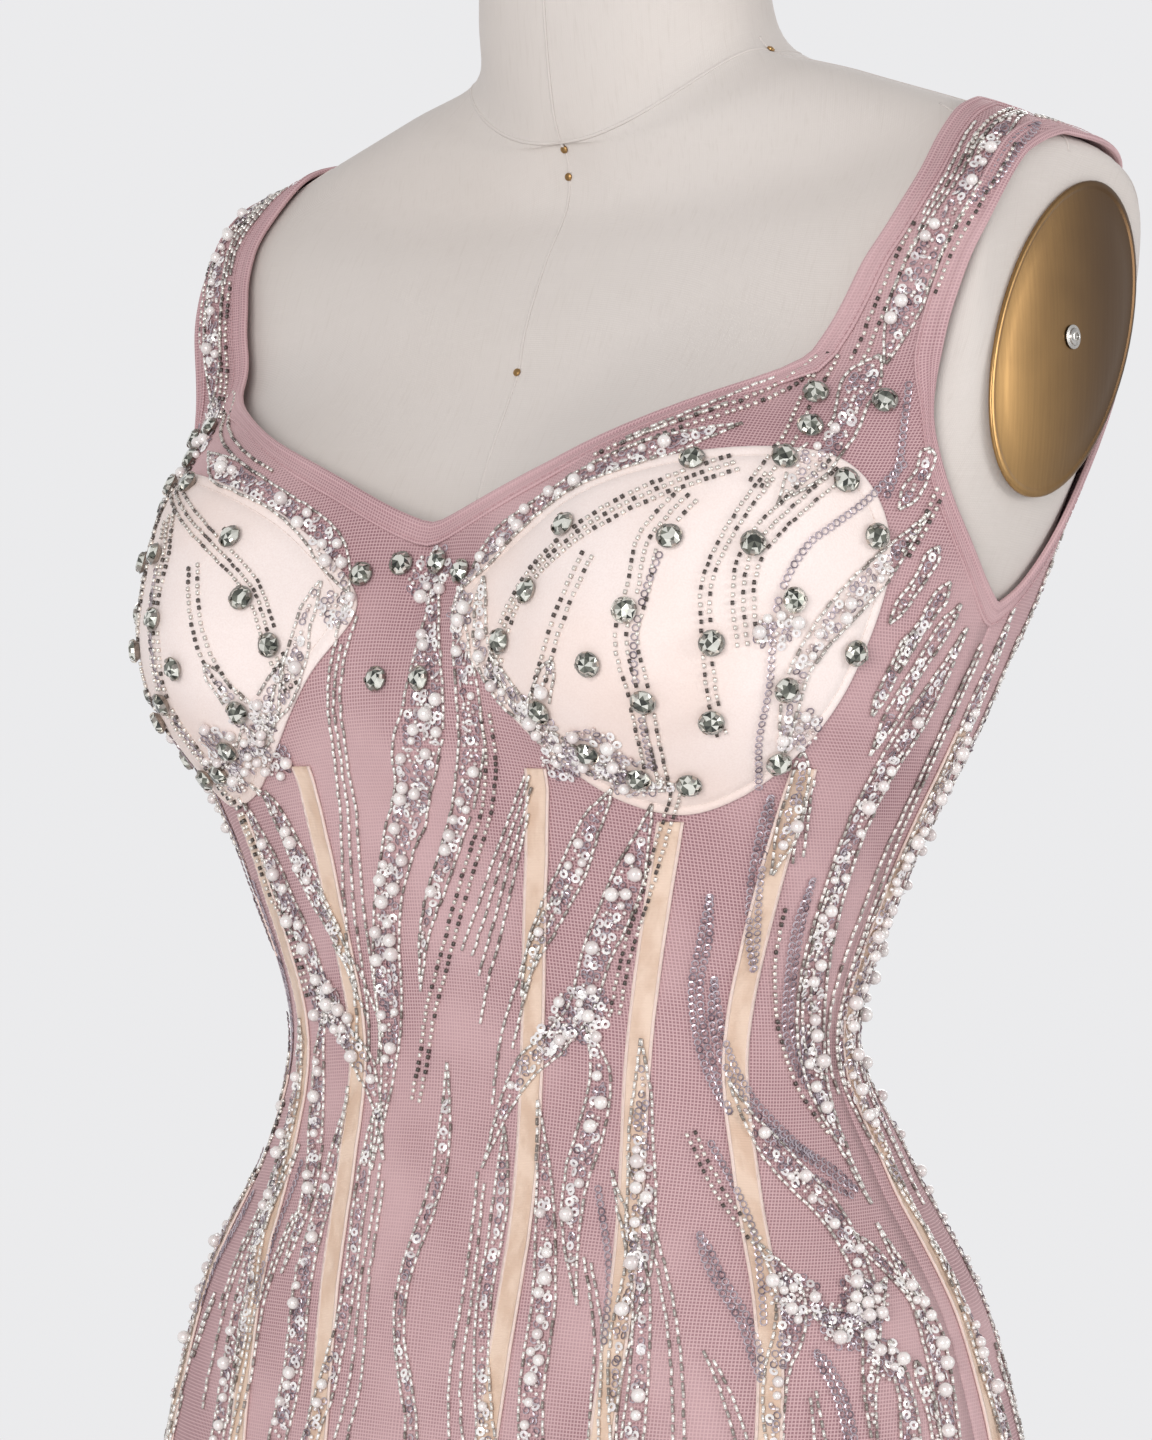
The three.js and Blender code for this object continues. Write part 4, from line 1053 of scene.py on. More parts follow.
def cup_share(angle, height):
    """0 in the middle of the nearer cup, 1 at its outline, and more outside it."""
    away = np.stack([np.abs(angle) - CUP_MIDDLE[0], (height - CUP_MIDDLE[1]) / 2.5], axis=-1)
    turn = np.arctan2(away[..., 1], away[..., 0])
    turn = OUTLINE_TURN[0] + (turn - OUTLINE_TURN[0]) % (2 * np.pi)
    order = np.argsort(OUTLINE_TURN)
    span = 2 * np.pi
    turns = np.concatenate([OUTLINE_TURN[order] - span, OUTLINE_TURN[order], OUTLINE_TURN[order] + span])
    reach = np.interp(turn, turns, np.tile(OUTLINE_REACH[order], 3))
    return np.linalg.norm(away, axis=-1) / reach


def cup_top(share):
    """The height of a cup's face off the panel's outer face."""
    swell = CUP_RAW + (CUP_SWELL - CUP_RAW) * (1 - np.clip(share, 0, 1) ** 4)
    pinch = CUP_PINCH * np.exp(-(((share - 0.945) / 0.018) ** 2))
    rim = 0.5 * ease(0.985, 1.0, share)
    return CUP_GAP + swell - pinch - rim


def add_cup(side):
    """Rings of places from the middle outwards, on the outer face and again on the inner one."""
    sign = 1 if side == "left" else -1
    around = cup_outline(np.arange(CUP_AROUND) / CUP_AROUND)
    flat = CUP_MIDDLE + (around[None, :, :] - CUP_MIDDLE) * CUP_RINGS[1:, None, None]
    flat = np.concatenate([CUP_MIDDLE[None, :], flat.reshape(-1, 2)])
    share = np.concatenate([[0], np.repeat(CUP_RINGS[1:], CUP_AROUND)])
    places = spot(flat[:, 0], flat[:, 1]) * (1, sign)
    outer = cloth_point(places, WALL + cup_top(share))
    inner = cloth_point(places, WALL + 0.25)
    count = len(outer)
    ring = 1 + np.arange((len(CUP_RINGS) - 1) * CUP_AROUND).reshape(-1, CUP_AROUND)
    turned = np.roll(ring, -1, axis=1)
    fan = np.stack([np.zeros(CUP_AROUND, int), ring[0], turned[0]], axis=-1)
    quads = np.stack([ring[:-1], ring[1:], turned[1:], turned[:-1]], axis=-1).reshape(-1, 4)
    rim = np.stack([ring[-1], ring[-1] + count, turned[-1] + count, turned[-1]], axis=-1)
    faces = [fan, quads, fan[:, ::-1] + count, quads[:, ::-1] + count, rim]
    if sign < 0:
        faces = [group[:, ::-1] for group in faces]
    piece = mesh_piece(f"crepe_cup_{side}", np.concatenate([outer, inner]), faces)
    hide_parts(f"cup_{side}")
    finished(piece, cup_crepe)
    return piece


cups = {side: add_cup(side) for side in ("left", "right")}
print("cups:", [len(cup.data.polygons) for cup in cups.values()], "faces")

# %% [markdown]
# ## Beads as templates
# Six kinds of bead are sewn on: long and short glass tubes, pearls, clear seed beads, flat sequins with a pinhole,
# wide ring sequins, and large crystals in claws. There are tens of thousands of them. An object for each would choke
# the scene, and a particle system would not export, so each kind is modelled once with a few faces, and its points
# are copied by arrays into one joined mesh for each quarter of the dress.

# %% Bead templates


def template():
    """Takes the active object's points and faces for copying, and deletes the object. It is drawn in millimetres."""
    obj = bpy.context.object
    points = np.empty(len(obj.data.vertices) * 3)
    obj.data.vertices.foreach_get("co", points)
    by_size = {}
    for face in obj.data.polygons:
        by_size.setdefault(len(face.vertices), []).append(tuple(face.vertices))
    bpy.data.objects.remove(obj)
    return points.reshape(-1, 3), [np.array(group) for group in by_size.values()]


def tube_template(length, radius, sides):
    bpy.ops.mesh.primitive_cylinder_add(
        vertices=sides, radius=radius, depth=length, rotation=(math.pi / 2, math.pi / sides, 0))
    bpy.ops.object.transform_apply(location=False, rotation=True, scale=False)
    return template()


def sequin_template(radius, hole, thick, sides):
    width = (radius - hole) / 2
    bpy.ops.mesh.primitive_torus_add(
        major_segments=sides, minor_segments=3, major_radius=hole + width, minor_radius=width)
    bpy.context.object.scale.z = thick / width
    bpy.ops.object.transform_apply(location=False, rotation=False, scale=True)
    return template()


def pearl_template():
    bpy.ops.mesh.primitive_uv_sphere_add(segments=9, ring_count=6, radius=1)
    return template()


def seed_template(radius):
    bpy.ops.mesh.primitive_ico_sphere_add(subdivisions=1, radius=radius)
    return template()


TUBE, SHORT_TUBE = (2.7, 0.62, 6), (1.5, 0.82, 4)
TEMPLATES = {
    "tube": tube_template(*TUBE),
    "short_tube": tube_template(*SHORT_TUBE),
    "pearl": pearl_template(),
    "seed": seed_template(0.9),
    "disc": sequin_template(1.75, 0.3, 0.28, 8),
    "ring": sequin_template(1.5, 0.86, 0.3, 7),
}
print("templates:", {kind: len(points) for kind, (points, _) in TEMPLATES.items()}, "points")

# %% [markdown]
# ## Placing beads on the cloth
# An embroiderer draws each line on the cloth and sews beads along it at an even pitch. Here a line is a few places
# by angle and height, joined by a smooth curve. A bead's seat is worked out from the same surface as the cloth, so it
# climbs over a tape or a cup, and a line beside another is found by stepping sideways in the cloth's own measures.

# %% Seats and threads


def tape_lift(level, angle):
    turn = np.abs(angle)
    lift = np.zeros(np.shape(level))
    for name, top in CHANNEL_TOPS.items():
        middle = tape_middle(name, level)
        on_tape = (np.abs(turn - middle) < tape_half(name, level, middle) * 1.1) & (level < top)
        lift = np.where(on_tape, 1.15, lift)
    return lift


def trim_lift(places):
    """The height of what lies on the panel at each place."""
    level, angle = places[..., 0], places[..., 1]
    share = cup_share(angle, figure_point(level, angle)[..., 2] - WAIST_Z)
    return np.where(share < 1, cup_top(share), tape_lift(level, angle))


def seats(places, rise):
    return cloth_point(places, WALL + trim_lift(places) + rise)


def cloth_steps(places):
    """How the cloth runs at each place: millimetres for one level, and for one degree."""
    level, angle = places[..., 0], places[..., 1]
    upward = (figure_point(level + 0.02, angle) - figure_point(level - 0.02, angle)) / 0.04
    around = figure_point(level, angle + 0.5) - figure_point(level, angle - 0.5)
    return upward, around


def dot(a, b):
    return (a * b).sum(axis=-1)


def moved(places, vectors):
    """The places that lie at these vectors, in millimetres, from the given ones."""
    upward, around = cloth_steps(places)
    uu, aa, ua = dot(upward, upward), dot(around, around), dot(upward, around)
    vu, va = dot(vectors, upward), dot(vectors, around)
    scale = uu * aa - ua**2
    return places + np.stack([(vu * aa - va * ua) / scale, (va * uu - vu * ua) / scale], axis=-1)


def beside(path, offset):
    """A path to the right of another, by an offset in millimetres at each of its places."""
    points = figure_point(path[:, 0], path[:, 1])
    along = unit(np.gradient(points, axis=0))
    right = np.cross(along, figure_normal(path[:, 0], path[:, 1]))
    return moved(path, right * np.asarray(offset)[:, None])


def path_length(path):
    return np.concatenate([[0], np.linalg.norm(np.diff(cloth_point(path), axis=0), axis=1).cumsum()])


def places_along(path, at):
    """Places at given lengths along a path."""
    length = path_length(path)
    return np.stack([np.interp(at, length, path[:, k]) for k in (0, 1)], axis=-1)


def drawn(rows, steps=16):
    """A smooth path through rows of angle and height."""
    fine = curve_through(np.array(rows, float), np.arange(steps * (len(rows) - 1) + 1) / steps)
    return spot(fine[:, 0], fine[:, 1])


# Every bead is a row: its centre, the way it lies, the way it faces, its size and its shade.
SEWN = {kind: [] for kind in TEMPLATES}


def sew(kind, centre, along, facing, size, shade):
    count = len(centre)
    along = unit(along - facing * dot(along, facing)[:, None])
    columns = (centre, along, facing, np.broadcast_to(size, count)[:, None], np.broadcast_to(shade, count)[:, None])
    SEWN[kind].append(np.concatenate(columns, axis=1))


def sew_tubes(path, kind, pitch, random):
    """Tubes end to end along a path, each lying on the seats of its two ends."""
    length = path_length(path)[-1]
    count = int(length / pitch)
    if count < 1:
        return
    at = (np.arange(count) + 0.5) * length / count
    half = (TUBE if kind == "tube" else SHORT_TUBE)[0] / 2
    ends = [seats(places_along(path, at + side * half), TUBE[1]) for side in (-1, 1)]
    middle = places_along(path, at)
    facing = figure_normal(middle[:, 0], middle[:, 1])
    along = unit(ends[1] - ends[0]) + random.normal(0, 0.05, (count, 3))
    centre = (ends[0] + ends[1]) / 2 + random.normal(0, 0.12, (count, 3))
    shade = random.random(count) if kind == "tube" else random.choice((0.1, 0.5, 1.0), count)
    sew(kind, centre, along, unit(facing + random.normal(0, 0.03, facing.shape)), 1.0, shade)


def sew_scattered(kind, places, rise, tilt, size, random):
    count = len(places)
    if count < 1:
        return
    facing = figure_normal(places[:, 0], places[:, 1])
    facing = unit(facing + random.normal(0, tilt, facing.shape))
    sew(kind, seats(places, rise), random.normal(0, 1, facing.shape), facing, size, random.random(count))


print("threads: ready")

# %% [markdown]
# ## The ways of laying beads
# - A *river* is a ribbon between two lines of tubes that meet at its ends, filled with pearls, sequins and seeds.
# - A *sheaf* is a handful of tube lines that fan out, each of its own length.
# - *Dots* are short tubes with gaps, which cross the cups.
# - A *chain* is ring sequins that overlap like scales, in one or two rows.
# - A *heap* is a small round crowd of pearls and sequins.

# %% Ways of laying beads
TUBE_PITCH, SHORT_PITCH, CHAIN_PITCH, FILL_PITCH = 3.2, 2.7, 2.75, 2.42
FILL = {"pearl": 0.1, "disc": 0.22, "ring": 0.39, "seed": 0.29}


def fill_places(places, room, random):
    """Sews a mixed filling at given places. Pearls go only where there is room for them."""
    kinds = random.choice(list(FILL), size=len(places), p=list(FILL.values()))
    kinds = np.where((kinds == "pearl") & (room < 2.4), "seed", kinds)
    pearls = kinds == "pearl"
    size = random.uniform(1.6, 2.9, pearls.sum())
    sew_scattered("pearl", places[pearls], 0.8 * size, 0.1, size, random)
    sew_scattered("seed", places[kinds == "seed"], random.uniform(0.5, 1.2, (kinds == "seed").sum()), 0.3, 1.0, random)
    sew_scattered("disc", places[kinds == "disc"], 0.9, 0.3, 1.0, random)
    sew_scattered("ring", places[kinds == "ring"], 0.8, 0.3, 1.0, random)


def lay_river(path, width, random):
    share = np.linspace(0, 1, len(path))
    swell = ease(-0.02, 0.22, share) * ease(1.02, 0.7, share) * (0.85 + 0.15 * np.sin(share * 9 + width))
    half = width / 2 * swell
    for side in (-1, 1):
        sew_tubes(beside(path, side * half), "tube", TUBE_PITCH, random)
    length = path_length(path)
    at = np.arange(FILL_PITCH, length[-1] - FILL_PITCH, FILL_PITCH)
    room = np.interp(at, length, half) - 1.0
    cells = np.maximum(1, np.floor(2 * room / FILL_PITCH)).astype(int)
    at, inside = np.repeat(at, cells), np.repeat(room, cells)
    order = np.concatenate([(np.arange(n) + 0.5) / n * 2 - 1 for n in cells])
    keep = inside > 0.5
    at = at[keep] + random.uniform(-0.9, 0.9, keep.sum())
    across = order[keep] * np.maximum(inside[keep] - 0.6, 0) + random.uniform(-0.5, 0.5, keep.sum())
    middle = places_along(path, at)
    ahead = places_along(path, at + 0.5)
    along = unit(cloth_point(ahead) - cloth_point(middle))
    right = np.cross(along, figure_normal(middle[:, 0], middle[:, 1]))
    fill_places(moved(middle, right * across[:, None]), inside[keep], random)


def lay_sheaf(path, width, random):
    count = max(2, round(width / 5.5))
    share = np.linspace(0, 1, len(path))
    for k in range(count):
        offset = width * ((k + 0.5) / count - 0.5) * (0.45 + 0.55 * ease(0, 0.8, share))
        start, end = random.uniform(0, 0.14), random.uniform(0.66, 1.0)
        line = beside(path, offset)[(share >= start) & (share <= end)]
        sew_tubes(line, "tube", TUBE_PITCH, random)


def lay_dots(path, width, random):
    lines = 1 + round(width / 3.5)
    for offset in np.linspace(-width / 2, width / 2, lines) if lines > 1 else (0.0,):
        sew_tubes(beside(path, np.full(len(path), float(offset))), "short_tube", SHORT_PITCH, random)


def lay_chain(path, width, random):
    offsets = (0,) if width < 2.5 else (-1.5, 1.5)
    share = np.linspace(0, 1, len(path))
    for offset in offsets:
        row = beside(path, offset * ease(0, 0.2, share) * ease(1, 0.8, share))
        length = path_length(row)[-1]
        at = np.arange(1, length, CHAIN_PITCH) + offset * 0.3
        middle, ahead = places_along(row, at), places_along(row, at + 1)
        along = unit(cloth_point(ahead) - cloth_point(middle))
        facing = figure_normal(middle[:, 0], middle[:, 1])
        leaning = unit(facing + 0.12 * along + random.normal(0, 0.05, facing.shape))
        sew("ring", seats(middle, 0.75), along, leaning, 1.0, random.random(len(at)))


def lay_heap(path, width, random):
    """A crowd round the first place of a path, on a sunflower's spiral."""
    count = int(math.pi * (width / 2) ** 2 / FILL_PITCH**2)
    k = np.arange(count)
    radius, turn = width / 2 * np.sqrt((k + 0.5) / count), k * 2.39996 + random.random() * 6
    centre = np.repeat(path[:1], count, axis=0)
    upward, around = (unit(step) for step in cloth_steps(centre))
    vectors = around * (radius * np.cos(turn))[:, None] + upward * (radius * np.sin(turn))[:, None]
    fill_places(moved(centre, vectors), np.full(count, 3.0), random)


LAY = {"river": lay_river, "sheaf": lay_sheaf, "dots": lay_dots, "chain": lay_chain, "heap": lay_heap}
print("ways:", list(LAY))

# %% [markdown]
# ## The embroidery's layout
# The streams spring from the V of the neckline, run down from the cups between the boning to the waist, and spread
# again over the hips. They thin out towards the hem. Each row below is one stream of the wearer's left side: its way,
# its width, and its places by angle and height from the waist. The right side takes the same rows turned over, with
# its own chance in the placing, and a few rows along the middle are only sewn once.

# %% Streams of the front and sides
CENTRE_STREAMS = [
    ("river", 18, [(1, 180), (2, 150), (2, 120), (0, 92), (-3, 68), (-6, 44), (-8, 20), (-9, -10), (-9, -50)]),
    ("sheaf", 16, [(-4, 168), (-6, 130), (-8, 96), (-11, 62), (-13, 30), (-14, -14)]),
    ("river", 11, [(4, 176), (6, 150), (7, 124), (6, 98), (3, 72), (0, 46), (-2, 18)]),
    ("dots", 4, [(9, 122), (9, 104), (8, 84), (5, 60), (2, 36), (-1, 8), (-3, -24)]),
    ("sheaf", 20, [(15, 100), (12, 74), (9, 48), (5, 20), (2, -14)]),
    ("river", 7, [(1, -8), (1, -45), (-1, -95), (1, -150), (0, -215), (2, -290)]),
    ("heap", 22, [(1, 170), (1, 169)]),
    ("sheaf", 7, [(19, 212), (26, 223), (33, 236)]),
    ("heap", 14, [(-6, 158), (-6, 157)]),
    ("heap", 20, [(-40, 224), (-40, 223)]),
    ("heap", 16, [(-43, 238), (-43, 237)]),
    ("heap", 14, [(6, 156), (6, 155)]),
]
LEFT_STREAMS = [
    # the neckline and the strap's foot
    ("river", 13, [(5, 163), (9, 184), (16, 199), (24, 209), (33, 219)]),
    ("dots", 4, [(17, 207), (25, 218), (33, 230), (36, 244)]),
    ("river", 13, [(44, 246), (44, 232), (46, 218), (45, 204), (44, 190)]),
    ("dots", 4, [(37, 246), (38, 230), (40, 214), (40, 196)]),
    ("chain", 1, [(51, 236), (54, 222), (57, 208), (58, 196)]),
    ("river", 7, [(61, 214), (62, 204), (61, 192)]),
    # rows and clusters over the cup
    ("dots", 6, [(36, 204), (28, 193), (21, 180), (16, 166), (13, 148), (11, 130)]),
    ("dots", 4, [(24, 174), (23, 158), (21, 140), (18, 124)]),
    ("dots", 7, [(33, 193), (31, 178), (32, 162), (32, 146), (34, 130), (35, 114), (36, 98)]),
    ("chain", 1, [(33, 176), (33, 160), (33, 144), (34, 126), (35, 106)]),
    ("dots", 3, [(41, 200), (40, 182), (40, 165), (42, 148), (44, 130), (46, 116)]),
    ("dots", 7, [(49, 204), (46, 190), (44, 176), (45, 162), (48, 144)]),
    ("chain", 1, [(58, 208), (55, 194), (51, 180), (50, 164), (51, 148), (52, 130), (52, 112), (54, 94)]),
    ("river", 11, [(67, 192), (64, 176), (61, 164), (58, 150), (56, 136), (56, 120), (57, 106)]),
    ("river", 11, [(11, 142), (16, 122), (23, 108), (32, 100), (42, 97)]),
    ("river", 9, [(22, 140), (19, 126), (17, 112)]),
    ("river", 9, [(8, 168), (9, 154), (10, 140), (13, 126), (18, 114)]),
    ("heap", 18, [(18, 121), (18, 120)]),
    ("heap", 20, [(20, 106), (20, 105)]),
    ("heap", 24, [(26, 110), (26, 109)]),
    ("heap", 20, [(32, 101), (32, 100)]),
    ("heap", 14, [(51, 150), (51, 149)]),
    ("heap", 16, [(59, 116), (59, 115)]),
    # from the cup down to the waist
    ("river", 10, [(28, 96), (25, 82), (23, 66), (20, 50), (17, 34), (15, 18)]),
    ("sheaf", 12, [(22, 62), (18, 42), (15, 22), (12, 2), (10, -24)]),
    ("river", 12, [(35, 90), (34, 72), (32, 52), (29, 34), (27, 16), (22, 2), (16, -8), (11, -24), (7, -46)]),
    ("heap", 22, [(27, 12), (27, 11)]),
    ("heap", 14, [(21, 2), (21, 1)]),
    ("river", 10, [(28, 8), (31, -10), (28, -30), (24, -48), (22, -70), (22, -92)]),
    ("river", 10, [(40, 4), (40, -14), (38, -34), (36, -56), (33, -78), (29, -98), (27, -122), (27, -150)]),
    ("dots", 3, [(39, 96), (38, 76), (37, 56), (35, 34), (34, 12)]),
    ("chain", 3, [(50, 56), (51, 40), (51, 24), (53, 8), (56, -8), (59, -24)]),
    ("chain", 3, [(57, 92), (58, 78), (59, 62), (61, 46), (64, 28)]),
    ("chain", 3, [(55, 26), (57, 10), (61, -8), (65, -20), (71, -32), (78, -42)]),
    ("dots", 1, [(68, 52), (69, 34), (72, 16), (76, -2), (80, -20), (84, -34)]),
    ("chain", 3, [(73, 62), (73, 44), (75, 24), (77, 6), (81, -10), (86, -26)]),
    ("sheaf", 8, [(64, 100), (66, 82), (68, 66)]),
    ("river", 9, [(61, 108), (62, 94), (63, 80), (62, 64)]),
    ("sheaf", 9, [(79, 76), (79, 52), (80, 28), (83, 4), (87, -20)]),
    ("dots", 3, [(49, -30), (51, -44), (54, -58), (57, -70)]),
    # the underarm and the side
    ("river", 6, [(72, 180), (71, 168), (69, 152)]),
    ("river", 6, [(78, 168), (76, 152), (74, 136)]),
    ("dots", 3, [(67, 200), (67, 188), (66, 176)]),
    ("river", 6, [(75, 150), (74, 136), (73, 120)]),
    ("river", 7, [(83, 160), (80, 142), (78, 124), (76, 106)]),
    ("river", 14, [(87, 152), (85, 126), (81, 98), (80, 66), (81, 34), (84, 4), (86, -30), (88, -60)]),
    ("sheaf", 12, [(92, 150), (91, 118), (91, 82), (91, 46), (91, 10), (92, -24)]),
    # the hip
    ("river", 11, [(60, -12), (64, -28), (70, -44), (76, -58), (78, -72), (77, -88), (74, -104), (71, -124), (70, -158)]),
    ("river", 11, [(57, -70), (60, -84), (58, -98), (54, -112), (52, -132), (52, -164)]),
    ("river", 9, [(63, -94), (70, -96), (77, -92), (83, -84)]),
    ("heap", 20, [(61, -88), (61, -87)]),
    ("heap", 18, [(69, -98), (69, -97)]),
    ("heap", 20, [(76, -90), (76, -89)]),
    ("heap", 16, [(76, -110), (76, -109)]),
    ("chain", 2, [(53, -34), (56, -50), (57, -66), (55, -82), (53, -98)]),
    ("chain", 3, [(46, -66), (47, -80), (50, -96), (51, -116)]),
    ("chain", 3, [(62, -106), (65, -120), (66, -140)]),
    ("chain", 3, [(68, -30), (74, -38), (80, -45), (86, -54)]),
    ("chain", 1, [(72, -44), (78, -50), (84, -56)]),
    ("river", 6, [(80, -68), (84, -80), (87, -92), (88, -104)]),
    ("river", 9, [(78, -104), (79, -124), (78, -148), (80, -190)]),
    ("river", 6, [(83, -112), (84, -130), (84, -152)]),
    ("sheaf", 8, [(42, -104), (45, -122), (47, -142)]),
    ("sheaf", 10, [(60, -118), (60, -140), (61, -168)]),
    ("river", 12, [(87, -66), (88, -104), (87, -146), (88, -190), (87, -244), (87, -300)]),
    # the lower front
    ("river", 8, [(11, -30), (10, -60), (8, -96), (9, -134), (12, -178), (11, -228)]),
    ("sheaf", 13, [(7, -44), (6, -84), (5, -126), (7, -176), (6, -230)]),
    ("river", 10, [(18, -20), (18, -52), (17, -88), (15, -128), (17, -176), (20, -230), (19, -292)]),
    ("sheaf", 10, [(24, -64), (25, -100), (24, -142), (26, -190), (29, -246)]),
    ("river", 9, [(31, -44), (33, -78), (31, -114), (29, -154), (32, -204), (34, -262), (32, -330)]),
    ("sheaf", 8, [(35, -36), (37, -70), (37, -110), (36, -156)]),
    ("chain", 1, [(28, -50), (28, -76), (26, -104)]),
    ("sheaf", 12, [(46, -130), (48, -172), (50, -222), (48, -282), (50, -340)]),
    ("river", 8, [(53, -150), (56, -196), (58, -248), (56, -312), (58, -366)]),
    ("sheaf", 12, [(64, -176), (66, -226), (69, -282), (68, -346)]),
    ("river", 7, [(75, -190), (74, -236), (77, -290), (75, -352)]),
    ("sheaf", 8, [(10, -240), (12, -290), (10, -344)]),
    ("river", 6, [(26, -262), (25, -310), (27, -362)]),
    ("sheaf", 8, [(40, -250), (39, -300), (41, -356)]),
]
print("front and side streams:", len(CENTRE_STREAMS) + 2 * len(LEFT_STREAMS))

# %% Streams of the back and the straps
BACK_STREAMS = [
    ("river", 13, [(150, 222), (146, 196), (140, 168), (134, 138), (130, 106), (131, 74), (136, 42), (140, 10)]),
    ("river", 9, [(168, 212), (164, 188), (158, 160), (154, 130), (153, 98), (156, 64), (160, 30), (162, -8)]),
    ("sheaf", 14, [(158, 208), (152, 178), (146, 146), (143, 112), (144, 76)]),
    ("heap", 18, [(160, 208), (160, 207)]),
    ("river", 7, [(118, 206), (119, 188), (118, 168)]),
    ("river", 7, [(126, 192), (126, 172), (123, 152)]),
    ("river", 6, [(110, 178), (111, 160), (109, 142)]),
    ("chain", 3, [(133, 214), (134, 190), (131, 164), (126, 138)]),
    ("river", 15, [(97, 160), (98, 128), (99, 94), (99, 60), (98, 26), (97, -8), (97, -44), (99, -84)]),
    ("river", 9, [(107, 150), (109, 116), (110, 80), (111, 44), (110, 10), (107, -30), (106, -64)]),
    ("sheaf", 12, [(119, 140), (121, 106), (123, 70), (122, 34), (119, -4)]),
    ("chain", 1, [(144, 60), (148, 30), (150, 0), (147, -34)]),
    ("sheaf", 10, [(166, 120), (165, 84), (167, 46), (169, 8), (168, -36)]),
    ("river", 11, [(126, 2), (124, -30), (120, -66), (119, -104), (122, -148), (125, -200), (123, -262)]),
    ("river", 11, [(142, 4), (146, -30), (148, -68), (145, -110), (141, -156), (143, -210), (146, -276), (144, -340)]),
    ("heap", 18, [(147, -62), (147, -61)]),
    ("sheaf", 13, [(133, -8), (134, -46), (133, -90), (131, -138), (133, -192)]),
    ("river", 9, [(161, -20), (163, -60), (160, -104), (156, -152), (158, -208), (161, -270)]),
    ("chain", 3, [(152, -50), (156, -80), (157, -114), (153, -146)]),
    ("sheaf", 10, [(170, -50), (171, -96), (169, -146), (171, -204), (170, -268)]),
    ("river", 11, [(98, -70), (99, -112), (101, -158), (99, -212), (96, -270), (98, -332)]),
    ("sheaf", 12, [(109, -110), (111, -156), (113, -210), (111, -272), (113, -336)]),
    ("river", 7, [(132, -220), (134, -272), (132, -330)]),
    ("sheaf", 9, [(152, -230), (153, -284), (151, -342)]),
    ("sheaf", 9, [(121, -270), (123, -318), (121, -362)]),
    ("river", 6, [(168, -280), (166, -322), (168, -366)]),
]
# On a strap a row is the station along it and the share across it, from the neck edge to the arm edge.
FRONT_STRAP_STREAMS = [
    ("river", 12, [(0, 0.56), (0.8, 0.56), (1.6, 0.55), (2.6, 0.52), (3.6, 0.5), (4.6, 0.5), (5.9, 0.5)]),
    ("dots", 4, [(0, 0.34), (0.8, 0.34), (1.6, 0.33), (2.4, 0.3)]),
    ("dots", 3, [(1.2, 0.76), (2.2, 0.76), (3.2, 0.72), (4.2, 0.7)]),
    ("sheaf", 8, [(2.2, 0.3), (3, 0.28), (4, 0.27), (5, 0.28), (5.9, 0.28)]),
    ("chain", 3, [(2.8, 0.68), (3.6, 0.74), (4.4, 0.76), (5.4, 0.74)]),
    ("dots", 3, [(3.6, 0.4), (4.4, 0.36), (5.2, 0.4), (5.9, 0.4)]),
]
BACK_STRAP_STREAMS = [
    ("river", 11, [(5.9, 0.5), (5, 0.5), (4, 0.52), (3, 0.5), (2, 0.5), (1, 0.46), (0, 0.42)]),
    ("sheaf", 7, [(5.6, 0.24), (4.5, 0.25), (3.4, 0.24)]),
    ("chain", 1, [(3.8, 0.75), (2.6, 0.76), (1.4, 0.74), (0.4, 0.72)]),
    ("sheaf", 8, [(2.6, 0.25), (1.6, 0.24), (0.6, 0.22)]),
]


def drawn_on_strap(stations, rows, steps=16):
    fine = curve_through(np.array(rows, float), np.arange(steps * (len(rows) - 1) + 1) / steps)
    neck_angle, neck_height, arm_angle, arm_height = curve_through(stations, fine[:, 0]).T
    return blend_places(spot(neck_angle, neck_height), spot(arm_angle, arm_height), fine[:, 1:])


def lay_streams():
    plan = [(way, width, drawn(rows)) for way, width, rows in CENTRE_STREAMS]
    sides = [(way, width, drawn(rows)) for way, width, rows in LEFT_STREAMS + BACK_STREAMS]
    sides += [(way, width, drawn_on_strap(FRONT_STRAP, rows)) for way, width, rows in FRONT_STRAP_STREAMS]
    sides += [(way, width, drawn_on_strap(BACK_STRAP, rows)) for way, width, rows in BACK_STRAP_STREAMS]
    plan += sides + [(way, width, path * (1, -1)) for way, width, path in sides]
    for seed, (way, width, path) in enumerate(plan):
        LAY[way](path, width, np.random.default_rng(seed))


lay_streams()
print("sewn:", {kind: sum(len(rows) for rows in parts) for kind, parts in SEWN.items()})

# %% [markdown]
# ## Crystals
# A crystal is a round faceted stone in a claw setting: eight facets round an eight-sided table, a metal cup below
# its girdle, and four claws bent over it. A ray-traced glass stone would be slow and noisy when it is nine
# millimetres wide, so it is opaque here. Each facet keeps a random tone of its own as an attribute. The darker tones
# give the foiled stone's own grey-green, and the material paints the rest near white as painted highlights that
# stand in for the sparkle of the glass.

# %% The crystal and its claw
STONE = {"width": 9.0, "table": 0.34, "height": 4.2, "girdle": 2.0}


def crystal_template():
    """The crown: a cone of eight sides under a flat table, whose faces are all poked into small facets."""
    radius, rise = STONE["width"] / 2, STONE["height"] - STONE["girdle"]
    middle = STONE["girdle"] + rise / 2
    bpy.ops.mesh.primitive_cone_add(
        vertices=8, radius1=radius * 0.97, radius2=radius * 0.58, depth=rise, location=(0, 0, middle))
    bpy.ops.object.transform_apply(location=True, rotation=False, scale=False)
    bpy.ops.object.mode_set(mode="EDIT")
    bpy.ops.mesh.select_all(action="SELECT")
    bpy.ops.mesh.poke(offset=0.16)
    bpy.ops.object.mode_set(mode="OBJECT")
    return template()


